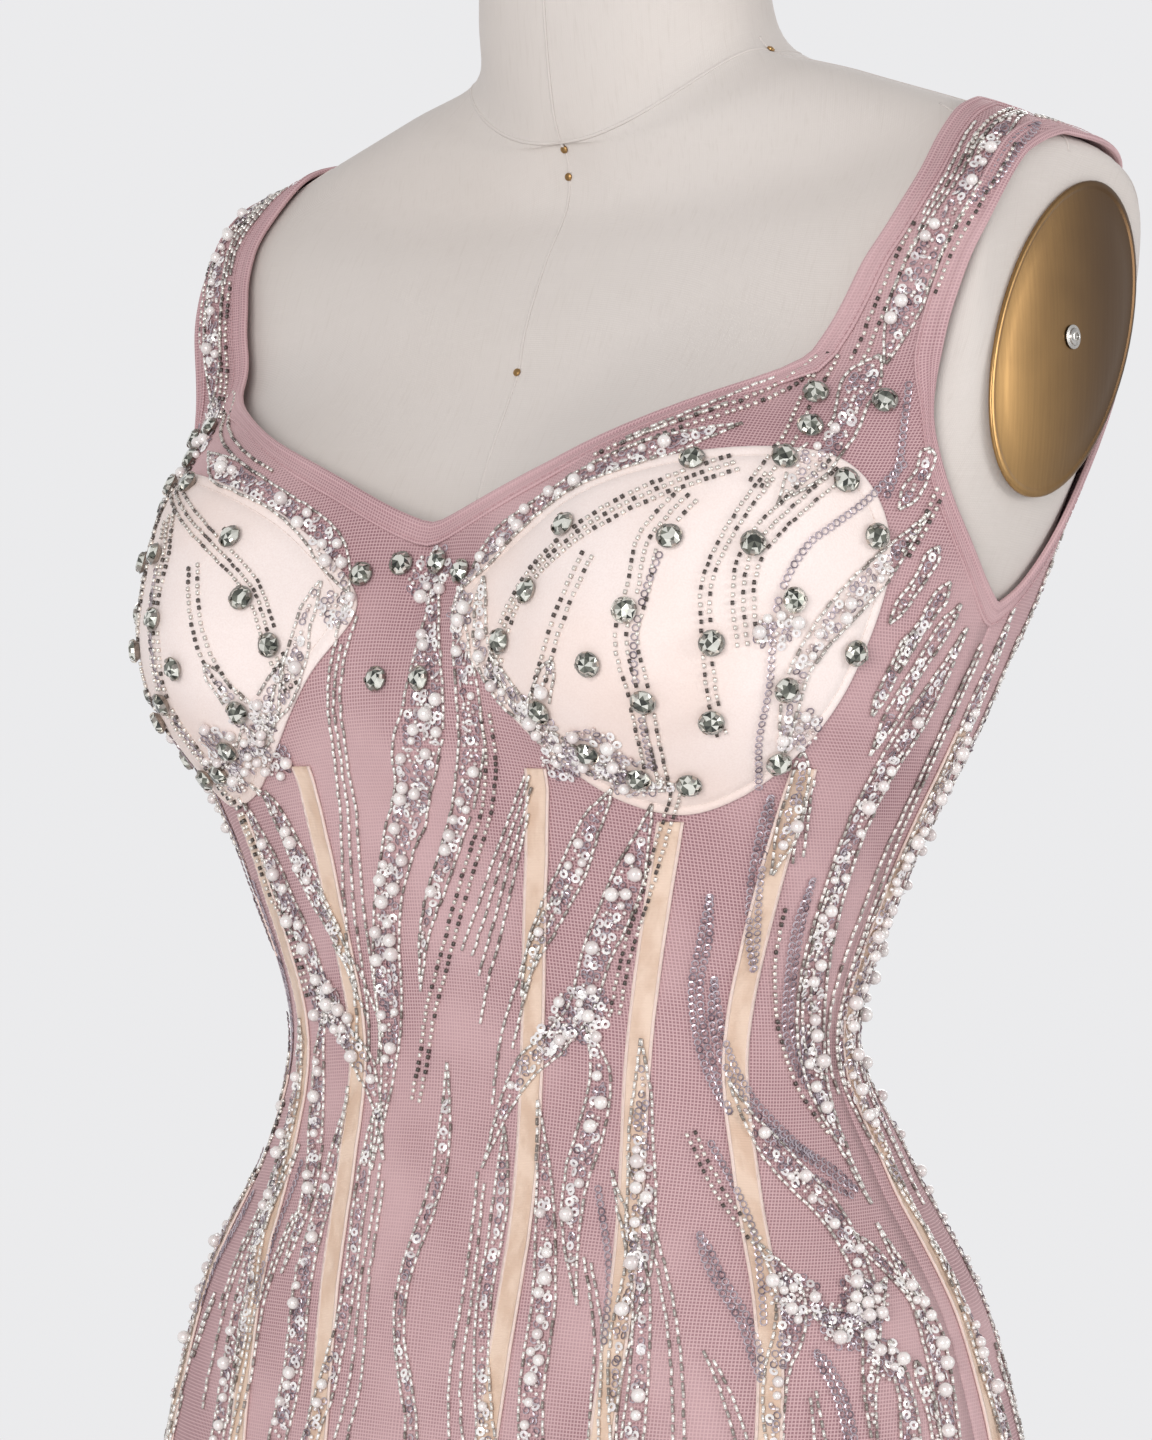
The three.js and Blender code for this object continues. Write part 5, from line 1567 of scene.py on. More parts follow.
def setting_template():
    """The metal cup under the girdle, with four claws drawn out of its rim and bent inwards."""
    radius, girdle = STONE["width"] / 2, STONE["girdle"]
    bpy.ops.mesh.primitive_cone_add(
        vertices=16, radius1=radius * 0.66, radius2=radius * 1.06, depth=girdle, location=(0, 0, girdle / 2))
    bpy.ops.object.transform_apply(location=True, rotation=False, scale=False)
    cup = bpy.context.object
    bpy.ops.object.mode_set(mode="EDIT")
    bpy.ops.mesh.select_mode(type="FACE")
    bpy.ops.mesh.select_all(action="DESELECT")
    bpy.ops.object.mode_set(mode="OBJECT")
    for face in cup.data.polygons:
        if face.normal.z > 0.9:
            face.select = True
    bpy.ops.object.mode_set(mode="EDIT")
    bpy.ops.mesh.inset(thickness=radius * 0.13)
    bpy.ops.mesh.select_all(action="DESELECT")
    bpy.ops.object.mode_set(mode="OBJECT")
    rim = [f for f in cup.data.polygons if f.normal.z > 0.9 and len(f.vertices) == 4]
    for face in rim:
        turn = math.degrees(math.atan2(face.center.y, face.center.x)) % 90
        face.select = turn < 22
    bpy.ops.object.mode_set(mode="EDIT")
    for rise, inwards in ((1.3, 0.93), (0.55, 0.82)):
        bpy.ops.mesh.extrude_region_move(TRANSFORM_OT_translate={"value": (0, 0, rise)})
        bpy.ops.transform.resize(value=(inwards, inwards, 1), center_override=(0, 0, 0))
    bpy.ops.object.mode_set(mode="OBJECT")
    return template()


TEMPLATES["crystal"] = crystal_template()
TEMPLATES["claw"] = setting_template()
print("crystal:", [len(points) for points, _ in (TEMPLATES["crystal"], TEMPLATES["claw"])], "points")

# %% Where the crystals sit
CUP_HALF = 7
STONE_STEP = 3
PANEL_STONE_ROWS = [(0, 3, 2), (1, 4, 2), (0, 8, 2), (8, 2, 1), (9, 3, 1), (11, 2, 1)]
PANEL_UPPER_CELLS = 8


def square_turn(x, y):
    """The share of the way round a square from its lower left corner."""
    if y == -1 and x < 1:
        return (x + 1) / 8
    if x == 1 and y < 1:
        return (y + 3) / 8
    if y == 1 and x > -1:
        return (5 - x) / 8
    return (7 - y) / 8


def cup_cell_corner(i, j):
    ring = max(abs(i), abs(j))
    turn = square_turn(i / ring, j / ring) if ring else 0.0
    return CUP_MIDDLE + (cup_outline(turn + 1 / 8) - CUP_MIDDLE) * ring / CUP_HALF


def cup_stones():
    """Angle and height of a cup's crystals, in rows that are staggered by turns."""
    cells = range(-CUP_HALF, CUP_HALF)
    places = []
    for j in cells:
        row, stagger = j + CUP_HALF, 1 if (j + CUP_HALF) // STONE_STEP % 2 == 0 else 2
        for i in cells:
            if row % STONE_STEP == 1 and (i + CUP_HALF + stagger) % STONE_STEP == 0:
                corners = [cup_cell_corner(i + a, j + b) for a in (0, 1) for b in (0, 1)]
                places.append(np.mean(corners, axis=0))
    return np.array(places)


def panel_stones():
    """Places of the crystals on the net: between two of the front's lines, counted down from the band."""
    places = []
    for line, down, rows in PANEL_STONE_ROWS:
        share = (PANEL_UPPER_CELLS + 1 - down + rows / 2) / PANEL_UPPER_CELLS
        at = LOWER_ROWS + share * UPPER_ROWS
        lines = FRONT[[line * FINE, line * FINE + FINE]].mean(axis=0)
        places.append([np.interp(at, np.arange(len(lines)), lines[:, k]) for k in (0, 1)])
    return np.array(places)


def crystal_seats():
    flat = cup_stones()
    left = np.concatenate([spot(flat[:, 0], flat[:, 1]), panel_stones()])
    return np.concatenate([left, left * (1, -1)])


def sew_crystals(places):
    random = np.random.default_rng(7)
    facing = figure_normal(places[:, 0], places[:, 1])
    facing = unit(facing + random.normal(0, 0.04, facing.shape))
    base = seats(places, 0.0)
    for kind in ("crystal", "claw"):
        SEWN[kind] = []
    along = random.normal(0, 1, facing.shape)
    for kind in ("crystal", "claw"):
        sew(kind, base, along, facing, 1.0, np.linspace(0, 1, len(places)))
    return base


crystal_bases = sew_crystals(crystal_seats())
print("crystals:", len(crystal_bases))

# %% [markdown]
# ## Clearing the seats and joining the beads
# A bead can't share its seat with a crystal, and small beads make way for pearls. Those that would are left out.
# Then each kind is joined into one mesh for each quarter of the dress, with its shade and its tone as attributes.

# %% Clearing
QUARTERS = {"front_left": (1, 1), "front_right": (1, -1), "back_left": (-1, 1), "back_right": (-1, -1)}
CRYSTAL_ROOM = 5.3
SEAM_Y = 22.0


def nearest(points, others):
    """The distance from each point to the nearest of the others, in steps that keep the arrays small."""
    best = np.full(len(points), 1e9)
    for start in range(0, len(points), 2000):
        part = points[start:start + 2000]
        best[start:start + 2000] = np.linalg.norm(part[:, None] - others[None], axis=-1).min(axis=1)
    return best


def cleared(kind, rows, pearls):
    centres = rows[:, :3]
    keep = nearest(centres, crystal_bases) > CRYSTAL_ROOM + (rows[:, 9] if kind == "pearl" else 0)
    if kind != "pearl":
        keep &= nearest(centres, pearls[:, :3]) > 2.5
    return rows[keep]


def thinned(pearls, gap=0.9):
    """Drops each pearl that would touch one before it."""
    kept = []
    for row in pearls:
        if all(np.linalg.norm(row[:3] - other[:3]) > gap * (row[9] + other[9]) for other in kept[-400:]):
            kept.append(row)
    return np.array(kept)


beads = {kind: np.concatenate(parts) for kind, parts in SEWN.items()}
beads["pearl"] = thinned(cleared("pearl", beads["pearl"], None))
for kind in ("tube", "short_tube", "seed", "disc", "ring"):
    beads[kind] = cleared(kind, beads[kind], beads["pearl"])
print("beads:", {kind: len(rows) for kind, rows in beads.items()}, "in all", sum(map(len, beads.values())))

# %% [markdown]
# ## Finishes of the beads
# Glass tubes are lined with silver: bright along the middle, with painted shade at both ends where the thread
# hole, which is not modelled, would lie dark. Pearls have a soft lustre under a clear coat. Flat sequins are pale
# and pearly, ring sequins are a smoky purple grey with a metal gloss. No two beads are quite alike, so each carries
# a shade between 0 and 1, and the finish spreads its colour and its gloss by it.

# %% Bead finishes


def bead_finish(name, colours, rough, **constants):
    """A gloss whose colour and roughness spread with each bead's own shade."""
    finish = Finish(name, **constants)
    shade = finish.attribute("shade")
    finish.feed("Roughness", shade * (rough[1] - rough[0]) + rough[0])
    return finish, shade, finish.mix(shade ** 2.5, *colours)


def tube_finish(name, colours):
    finish, _, colour = bead_finish(name, colours, (0.1, 0.3), metallic=0.4, coat_weight=0.7)
    along = finish.attribute("along")
    # painted shade: the tube's ends are darkened where its thread hole, which is not modelled, would lie in shade
    painted_hole_shade = along.size().step(0.8, 0.98)
    finish.feed("Base Color", finish.mix(painted_hole_shade * 0.6, colour, tint(120, 106, 100)))
    finish.bump(finish.noise(900.0, 2.0), 0.00008, 0.4)
    return finish.material


def pearl_finish():
    colours = (tint(240, 235, 231), tint(222, 213, 210))
    finish, shade, colour = bead_finish("pearl_lustre", colours, (0.16, 0.26), coat_weight=0.8, metallic=0.12)
    glow = finish.noise(500.0, 2.0).step(0.35, 0.7)
    finish.feed("Base Color", finish.mix(glow * 0.35, colour, tint(236, 214, 214)))
    finish.bump(finish.noise(1500.0, 2.0), 0.00003, 0.3)
    return finish.material


def seed_finish():
    colours = (tint(248, 243, 238), tint(196, 172, 170))
    finish, _, colour = bead_finish("clear_seed_glass", colours, (0.05, 0.2), metallic=0.25, coat_weight=0.8)
    finish.feed("Base Color", finish.mix(finish.noise(900.0).step(0.4, 0.7) * 0.4, colour, tint(170, 148, 146)))
    return finish.material


def sequin_finish(name, colours, rough, metallic):
    finish, shade, colour = bead_finish(name, colours, rough, metallic=metallic, coat_weight=0.5)
    film = finish.noise(260.0, 1.0)
    tinted = finish.mix(film.step(0.4, 0.65) * 0.3, colour, tint(216, 204, 214))
    finish.feed("Base Color", tinted)
    finish.bump(finish.noise(1200.0, 1.0), 0.00004, 0.3)
    return finish.material


def crystal_finish():
    finish = Finish("foiled_crystal", metallic=0.6, coat_weight=0.8)
    tone = finish.attribute("tone")
    # painted highlight: facets with a high tone are painted near white, standing in for the stone's sparkle
    painted_flash = tone.step(0.5, 0.6)
    dark = finish.mix(tone * 2.0, tint(40, 44, 40), tint(138, 140, 128))
    finish.feed("Base Color", finish.mix(painted_flash, dark, tint(244, 244, 234)))
    finish.feed("Roughness", tone * 0.2 + 0.04)
    return finish.material


def claw_finish():
    finish, _, colour = bead_finish("silver_claw", (tint(196, 190, 182), tint(160, 152, 144)), (0.22, 0.34), metallic=1.0)
    worn = finish.noise(400.0, 3.0).step(0.4, 0.7)
    finish.feed("Base Color", finish.mix(worn * 0.5, colour, tint(110, 103, 98)))
    finish.bump(worn, 0.00005, 0.4)
    return finish.material


BEAD_LOOKS = {
    "tube": ("bugle", tube_finish("silver_lined_glass", (tint(250, 245, 238), tint(122, 112, 104)))),
    "short_tube": ("bugle", tube_finish("square_cut_glass", (tint(246, 238, 228), tint(74, 64, 58)))),
    "pearl": ("pearl", pearl_finish()),
    "seed": ("bugle", seed_finish()),
    "disc": ("sequin", sequin_finish("pearly_sequin", (tint(252, 249, 246), tint(218, 210, 208)), (0.12, 0.28), 0.2)),
    "ring": ("sequin", sequin_finish("smoky_ring", (tint(192, 180, 188), tint(98, 84, 96)), (0.14, 0.32), 0.5)),
    "crystal": ("crystal", crystal_finish()),
    "claw": ("claw", claw_finish()),
}
print("bead finishes:", [look[1].name for look in BEAD_LOOKS.values()])

# %% Joining


def add_attribute(obj, name, domain, values):
    layer = obj.data.attributes.new(name, "FLOAT", domain)
    layer.data.foreach_set("value", np.asarray(values, np.float32))


def strew(name, kind, rows):
    """One mesh with a copy of the template at every row."""
    shape, faces = TEMPLATES[kind]
    centre, along, facing = rows[:, None, 0:3], rows[:, None, 3:6], rows[:, None, 6:9]
    size, shade = rows[:, None, 9:10], rows[:, 10]
    right = np.cross(along, facing)
    local = shape[None] * size
    points = centre + right * local[..., 0:1] + along * local[..., 1:2] + facing * local[..., 2:3]
    first = (np.arange(len(rows)) * len(shape))[:, None, None]
    piece = mesh_piece(name, points.reshape(-1, 3), [(group[None] + first).reshape(-1, group.shape[1]) for group in faces],
                       smooth=kind in ("pearl", "seed", "tube", "short_tube"))
    add_attribute(piece, "shade", "POINT", np.repeat(shade, len(shape)))
    if "tube" in kind:
        add_attribute(piece, "along", "POINT", np.tile(shape[:, 1] / np.abs(shape[:, 1]).max(), len(rows)))
    if kind == "crystal":
        # painted highlight: a random tone for each facet decides which facets the crystal finish paints near white
        tones = np.random.default_rng(11).random(len(piece.data.polygons))
        sizes = np.array([len(face.vertices) for face in piece.data.polygons])
        add_attribute(piece, "tone", "CORNER", np.repeat(tones, sizes))
    slot, material = BEAD_LOOKS[kind]
    return finished(piece, material)


def quarter_of(rows):
    front, left = np.where(rows[:, 1] < SEAM_Y, 1, -1), np.where(rows[:, 0] >= 0, 1, -1)
    return {name: (front == f) & (left == s) for name, (f, s) in QUARTERS.items()}


bead_pieces = {}
for kind, rows in beads.items():
    for quarter, inside in quarter_of(rows).items():
        if inside.any():
            name = f"{kind}s_{quarter}"
            bead_pieces[name] = strew(name, kind, rows[inside])
print("bead pieces:", len(bead_pieces))

# %% [markdown]
# ## Turned metal parts
# The stand's base and pole, the arm plates, their screws and the pins are all turned shapes. A cylinder with its
# edges bevelled would do for the pole, but a turned part is best made as a lathe makes it: its half profile is spun
# round the axis. The arm plates are then stretched into ovals, and each part is moved to its seat in its mesh.

# %% Spun parts


def spun(name, profile, steps=64):
    """A half profile of radius and height in millimetres, spun round the upright axis."""
    mesh = bpy.data.meshes.new(name)
    mesh.from_pydata([(r * MM, 0, h * MM) for r, h in profile], [(k, k + 1) for k in range(len(profile) - 1)], [])
    part = bpy.data.objects.new(name, mesh)
    bpy.context.scene.collection.objects.link(part)
    activate(part)
    bpy.ops.object.mode_set(mode="EDIT")
    bpy.ops.mesh.select_all(action="SELECT")
    bpy.ops.mesh.spin(steps=steps, angle=2 * math.pi, center=(0, 0, 0), axis=(0, 0, 1))
    bpy.ops.mesh.select_all(action="SELECT")
    bpy.ops.mesh.remove_doubles(threshold=0.000005)
    bpy.ops.mesh.select_all(action="SELECT")
    bpy.ops.mesh.normals_make_consistent(inside=False)
    bpy.ops.object.mode_set(mode="OBJECT")
    bpy.ops.object.shade_smooth_by_angle(angle=math.radians(35))
    return part


def rounded(corners, radius, steps=4):
    """A profile with each inner corner replaced by a small arc, as on a cast or turned edge."""
    points = [np.array(corner, float) for corner in corners]
    profile = [points[0]]
    for before, here, after in zip(points, points[1:], points[2:]):
        reach = min(radius, 0.45 * np.linalg.norm(before - here), 0.45 * np.linalg.norm(after - here))
        start, end = here + unit(before - here) * reach, here + unit(after - here) * reach
        for k in range(steps + 1):
            t = k / steps
            profile.append((1 - t) ** 2 * start + 2 * t * (1 - t) * here + t**2 * end)
    return [tuple(point) for point in profile + [points[-1]]]


# %% The stand
POLE = {"radius": 17, "foot": 46.3, "top": 529.7}
STAND_BASE = {"radius": 200, "rim": 8, "dome": 22, "collar": 60, "hub": 30, "hub_height": 46}


def iron_finish():
    """Powder coat: a fine orange-peel skin, a little worn where hands and floors rub."""
    finish = Finish("powder_coated_iron", metallic=0.35, coat_weight=0.15)
    speckle = finish.noise(700.0, 2.0)
    rubbed = finish.noise(9.0, 5.0).step(0.55, 0.75)
    colour = finish.mix(speckle.step(0.4, 0.7) * 0.35, tint(46, 45, 47), tint(72, 70, 72))
    finish.feed("Base Color", finish.mix(rubbed * 0.2, colour, tint(96, 92, 90)))
    finish.feed("Roughness", speckle * 0.15 + 0.4)
    finish.bump(speckle, 0.00025, 0.5)
    return finish.material


def add_stand():
    top = figure_point(1.0, 0.0)[2]
    pole_top = min(POLE["top"], top)
    pole = spun("form_pole", rounded(
        [(0, POLE["foot"]), (17, POLE["foot"]), (17, POLE["foot"] + 20), (16.2, POLE["foot"] + 22),
         (16.2, pole_top - 16), (17, pole_top - 14), (17, pole_top), (0, pole_top)], 0.8), 48)
    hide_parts("stand_pole")
    b = STAND_BASE
    base = spun("form_base", rounded(
        [(0, 0), (b["radius"], 0), (b["radius"], b["rim"]), (150, 13), (b["collar"] + 18, 18),
         (b["collar"], b["dome"]), (b["hub"] + 4, b["dome"] + 5), (b["hub"], b["dome"] + 9),
         (b["hub"], b["hub_height"]), (0, b["hub_height"])], 3.0), 96)
    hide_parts("stand_base")
    return [finished(part, iron) for part in (pole, base)]


iron = iron_finish()
stand = add_stand()
print("stand:", [len(part.data.polygons) for part in stand], "faces")

# %% Arm plates and screws
PLATE = {"y": 44.5, "z": 257.5, "long": 65, "short": 38.5, "lean": 31, "thick": 1.4, "dome": 3}
PLATE_SCREW = {"radius": 4.5, "height": 2}
LAID_ON = 0.3


def brushed_finish(name, pale, deep, rough, marks, painted_shade_attribute=None):
    """Metal with fine marks along one way, as a brush or a lathe leaves it. An attribute may paint shade into it: the
    colour goes towards the deep tone where the attribute is high.
    """
    finish = Finish(name, metallic=1.0)
    lines = finish.noise(1.0, 3.0, finish.stretch(finish.place(), marks))
    blotch = finish.noise(22.0, 4.0)
    colour = finish.mix(lines.step(0.3, 0.7) * 0.16, pale, deep)
    colour = finish.mix(blotch.step(0.4, 0.8) * 0.25, colour, deep)
    # painted shade: where the attribute is high the colour is darkened, standing in for a dim reflection
    if painted_shade_attribute:
        colour = finish.mix(finish.attribute(painted_shade_attribute) * 0.9, colour, deep)
    finish.feed("Base Color", colour)
    finish.feed("Roughness", lines * 0.12 + rough)
    finish.bump(lines, 0.00005, 0.4)
    return finish.material


def arm_frame(side):
    """The seat of an arm plate: its short way, its long way, its outward normal and its middle."""
    normal = unit(np.array([side, ARM_PLANE["lean_y"], ARM_PLANE["lean_z"]], float))
    lean = math.radians(PLATE["lean"])
    long = np.array([0, math.sin(lean), math.cos(lean)])
    long = unit(long - normal * dot(long, normal))
    short = np.cross(long, normal)
    seat = arm_limit(PLATE["y"], PLATE["z"]) - FORM_INSET
    middle = np.array([side * seat, PLATE["y"], WAIST_Z + PLATE["z"]]) + normal * LAID_ON
    frame = np.eye(4)
    frame[:3, 0], frame[:3, 1], frame[:3, 2], frame[:3, 3] = short, long, normal, middle * MM
    return Matrix(frame)


def seated(part, matrix):
    """Moves a part's mesh to its seat and keeps its faces outward."""
    part.data.transform(matrix)
    if matrix.determinant() < 0:
        part.data.flip_normals()
    return part


def add_arm_plate(side, name):
    thick, dome = PLATE["thick"], PLATE["dome"]
    plate = spun(f"brass_plate_{name}", [
        (0, 0), (0.985, 0), (1.0, 0.4), (1.0, thick), (0.99, thick + 0.35), (0.965, thick + 0.4), (0.945, thick + 0.1),
        (0.92, thick + 0.15), (0.82, thick + 0.3 * dome), (0.7, thick + 0.55 * dome), (0.5, thick + 0.8 * dome),
        (0.3, thick + 0.93 * dome), (0.15, thick + 0.98 * dome), (0, thick + dome)], 72)
    stretch = Matrix.Diagonal((PLATE["short"] / 1, PLATE["long"] / 1, 1, 1))
    plate.data.transform(stretch)
    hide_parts(f"arm_plate_{name}")
    plate = finished(seated(plate, arm_frame(side)), brass)
    points = np.empty(len(plate.data.vertices) * 3)
    plate.data.vertices.foreach_get("co", points)
    # painted shade: the plate's colour darkens towards its back, as a painted reflection of the dim room
    add_attribute(plate, "painted_reflection_shade", "POINT", ease(0, 74, points[1::3] / MM))
    return plate


def add_plate_screw(side, name):
    """A pan head with a washer and a round recess in its top, all in one spun profile."""
    radius, height = PLATE_SCREW["radius"], PLATE_SCREW["height"]
    screw = spun(f"plate_screw_head_{name}", rounded(
        [(0, 0), (radius, 0), (radius, 0.5), (radius * 0.72, 0.6), (radius * 0.7, height * 0.7),
         (radius * 0.45, height), (radius * 0.32, height), (radius * 0.3, 0.9), (0, 0.9)], 0.35), 24)
    lift = Matrix.Translation((0, 0, (PLATE["thick"] + PLATE["dome"] + LAID_ON) * MM))
    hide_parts(f"plate_screw_{name}")
    return finished(seated(screw, arm_frame(side) @ lift), bright_steel)


# painted shade: the brass darkens by the plate's attribute; the pins have none and keep the plain colour
brass = brushed_finish("satin_brass", tint(184, 146, 96), tint(82, 62, 46), 0.26, (300.0, 700.0, 30.0), "painted_reflection_shade")
bright_steel = brushed_finish("bright_steel", tint(206, 203, 198), tint(150, 147, 143), 0.2, (500.0, 500.0, 90.0))
plates = [add_arm_plate(side, name) for side, name in ((1, "left"), (-1, "right"))]
screws = [add_plate_screw(side, name) for side, name in ((1, "left"), (-1, "right"))]
print("arm plates:", [len(part.data.polygons) for part in plates + screws], "faces")

# %% [markdown]
# ## Seams and pins of the form
# The linen cover is cut in panels, so it has a seam down its centre front and back, one round the base of the neck,
# one over each shoulder and a curved one from each shoulder to the bust. A seam is a low rounded ridge, swept along
# a line on the form and half sunk in it. Small brass pins mark the points from which a dressmaker measures.

# %% Form seams
SEAM_SECTION = [(math.cos(turn) * 0.75, math.sin(turn) * 0.32) for turn in np.linspace(0, 2 * math.pi, 7)[:-1]]
NECK_BASE = 15.9
FORM_SEAMS = {
    "centre_front": [(0, 200), (0, 250), (0, 300), (0, 338), (0, 372), (0, 410), (0, 450), (0, 468)],
    "shoulder_left": [(92, 379), (91, 360), (91, 345), (91, 326)],
    "princess_left": [(76, 345), (64, 326), (52, 300), (43, 268), (37, 235), (33, 205)],
    "centre_back": [(180, 200), (180, 260), (180, 320), (180, 368), (180, 400), (180, 440), (180, 468)],
    "back_princess_left": [(104, 346), (116, 326), (130, 300), (139, 268), (144, 235), (147, 205)],
}


def form_tube(name, path, section, closed, material):
    """A section swept along a path of places on the form."""
    points = form_point(path[:, 0], path[:, 1])
    normal = figure_normal(path[:, 0], path[:, 1], clothed=False)
    along = np.roll(points, -1, axis=0) - np.roll(points, 1, axis=0) if closed else np.gradient(points, axis=0)
    right = np.cross(unit(along), normal)
    rings = np.stack([points + right * x + normal * y for x, y in section], axis=1)
    count, sides = rings.shape[:2]
    index = np.arange(count * sides).reshape(count, sides)
    near = index if closed else index[:-1]
    far = np.roll(index, -1, axis=0) if closed else index[1:]
    turn = lambda rows: np.roll(rows, -1, axis=1)
    quads = np.stack([near, far, turn(far), turn(near)], axis=-1).reshape(-1, 4)
    faces = [quads] if closed else [quads, index[0][None, :], index[-1][::-1][None, :]]
    piece = mesh_piece(name, rings.reshape(-1, 3), faces)
    length = np.concatenate([[0], np.linalg.norm(np.diff(points, axis=0), axis=1).cumsum()])
    lay_uv(piece, (np.stack(np.broadcast_arrays(np.arange(sides)[None], length[:, None]), -1) * MM).reshape(-1, 2))
    return finished(piece, material)


def add_form_seams():
    turns = np.linspace(-180, 180, 121)[:-1]
    round_neck = np.stack([np.full(turns.shape, NECK_BASE), turns], axis=-1)
    seams = [form_tube("seam_neck_base", round_neck, SEAM_SECTION, True, form_linen)]
    for name, rows in FORM_SEAMS.items():
        path = drawn(rows, 12)
        seams.append(form_tube(f"seam_{name}", path, SEAM_SECTION, False, form_linen))
        if name.endswith("_left"):
            other = name.replace("_left", "_right")
            seams.append(form_tube(f"seam_{other}", path * (1, -1), SEAM_SECTION, False, form_linen))
    return seams


form_seams = add_form_seams()
print("form seams:", len(form_seams))

# %% Pins
PIN_PROFILE = [(0, -1.0), (0.45, -1.0), (0.5, 0.25), (1.35, 0.3), (1.6, 0.65), (1.45, 1.15), (0.8, 1.5), (0, 1.6)]


def add_pins():
    pins = []
    for angle, height in PIN_PLACES:
        place = spot(float(angle), float(height))
        normal = Vector(figure_normal(place[0], place[1], clothed=False))
        pin = spun(f"form_pin_{len(pins) + 1}", PIN_PROFILE, 16)
        turn = normal.to_track_quat("Z", "Y").to_matrix().to_4x4()
        seat = Matrix.Translation(Vector(form_point(place[0], place[1]) * MM)) @ turn
        pins.append(finished(seated(pin, seat), brass))
    return pins


pins = add_pins()
print("pins:", len(pins))

# %% [markdown]
# ## The zip
# A fine coil zip closes the centre back, from below the waist to the neckline. Its tape lies inside the panels, its
# coil fills the slit between them, and its slider and pull hang just under the neckline. The pull swings on the
# slider's bridge, so it rides on a body of its own. The coil's teeth are one tooth copied by arrays, and the slider
# and the pull are cut from plates and bevelled.

# %% Zip tape and coil
ZIP = {"foot": -200, "head": 207, "tooth_pitch": 1.35, "tooth": (2.6, 0.42), "tape_lift": -1.2, "tape_thick": 0.9}
ZIP_FOOT_LEVEL = 3.0


def zip_tape_finish():
    finish = Finish("zip_tape", roughness=0.62, sheen_weight=0.2)
    u, v, _ = finish.cloth_uv()
    twill = ((u + v) / 0.0009).wave()
    colour = finish.mix(twill * 0.6, tint(182, 140, 146), tint(204, 166, 170))
    finish.feed("Base Color", finish.mix(finish.noise(30.0).step(0.4, 0.7) * 0.3, colour, tint(168, 126, 132)))
    finish.bump(twill, 0.0001, 0.5)
    return finish.material


def coil_finish():
    finish = Finish("coil_nylon", coat_weight=0.3)
    grain = finish.noise(800.0, 2.0)
    finish.feed("Base Color", finish.mix(grain.step(0.4, 0.7), tint(188, 146, 152), tint(212, 176, 180)))
    finish.feed("Roughness", grain * 0.2 + 0.3)
    return finish.material


def add_zip_tape():
    line = BACK[-1 - FINE]
    line = line[line[:, 0] >= ZIP_FOOT_LEVEL]
    turns = np.linspace(line[:, 1], 360 - line[:, 1], 7)
    places = np.stack([np.broadcast_to(line[:, 0], turns.shape), turns], axis=-1)
    points = zip_point(places, ZIP["tape_lift"] + ZIP["tape_thick"])
    tape = mesh_piece("zip_tape_woven", points.reshape(-1, 3), grid_faces(points.shape))
    lay_uv(tape, cloth_measures(places[..., 0], places[..., 1]).reshape(-1, 2))
    wall = tape.modifiers.new("wall", "SOLIDIFY")
    wall.thickness = ZIP["tape_thick"] * 0.9 * MM
    wall.offset = -1
    apply_modifiers(tape)
    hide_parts("zip_tape")
    finished(tape, zip_tape_finish())
    return tape


def zip_point(places, lift):
    """The cloth's surface across centre back, where angles run past 180."""
    wrapped = np.stack([places[..., 0], (places[..., 1] + 180) % 360 - 180], axis=-1)
    return cloth_point(wrapped, lift)


def add_coil():
    width, radius = ZIP["tooth"]
    bpy.ops.mesh.primitive_cylinder_add(vertices=6, radius=radius, depth=width, rotation=(0, math.pi / 2, 0))
    bpy.ops.object.transform_apply(location=False, rotation=True, scale=False)
    TEMPLATES["tooth"] = template()
    heights = np.arange(ZIP["foot"], ZIP["head"], ZIP["tooth_pitch"])
    places = spot(np.full(heights.shape, 180.0), heights)
    upward, _ = cloth_steps(places)
    facing = figure_normal(places[:, 0], places[:, 1])
    sloped = unit(unit(upward) + np.cross(unit(upward), facing) * 0.12)
    rows = np.concatenate([cloth_point(places, WALL - 0.05), sloped, facing,
                           np.ones((len(places), 1)), np.linspace(0, 1, len(places))[:, None]], axis=1)
    BEAD_LOOKS["tooth"] = ("zip_tape", coil_finish())
    return strew("zip_coil", "tooth", rows)


zip_tape = add_zip_tape()
zip_coil = add_coil()
print("zip: coil of", len(zip_coil.data.polygons), "faces")

# %% Slider and pull
SLIDER = {"width": 6, "length": 9, "thick": 1.6, "lug_width": 2, "lug_radius": 1.5, "axis": 3.2}
SLIDER_SEAT = (0, 125.37, 1079.989)
SLIDER_UP = (0, 0.0341, 0.9994)
PULL = {"length": 20, "width": 5.2, "thick": 1.3, "heel": 1.1}
SEAM = 0.3


def slider_frame():
    up = Vector(SLIDER_UP).normalized()
    across = Vector((-1, 0, 0))
    outward = across.cross(up)
    frame = Matrix.Identity(4)
    for column, axis in enumerate((across, up, outward)):
        frame.col[column][:3] = axis
    frame.translation = Vector(SLIDER_SEAT) * MM
    return frame


def bevelled(part, width, segments=2, angle=30):
    bevel = part.modifiers.new("edges", "BEVEL")
    bevel.width = width * MM
    bevel.segments = segments
    bevel.limit_method = "ANGLE"
    bevel.angle_limit = math.radians(angle)
    apply_modifiers(part)
    bpy.ops.object.shade_smooth_by_angle(angle=math.radians(35))
    return part


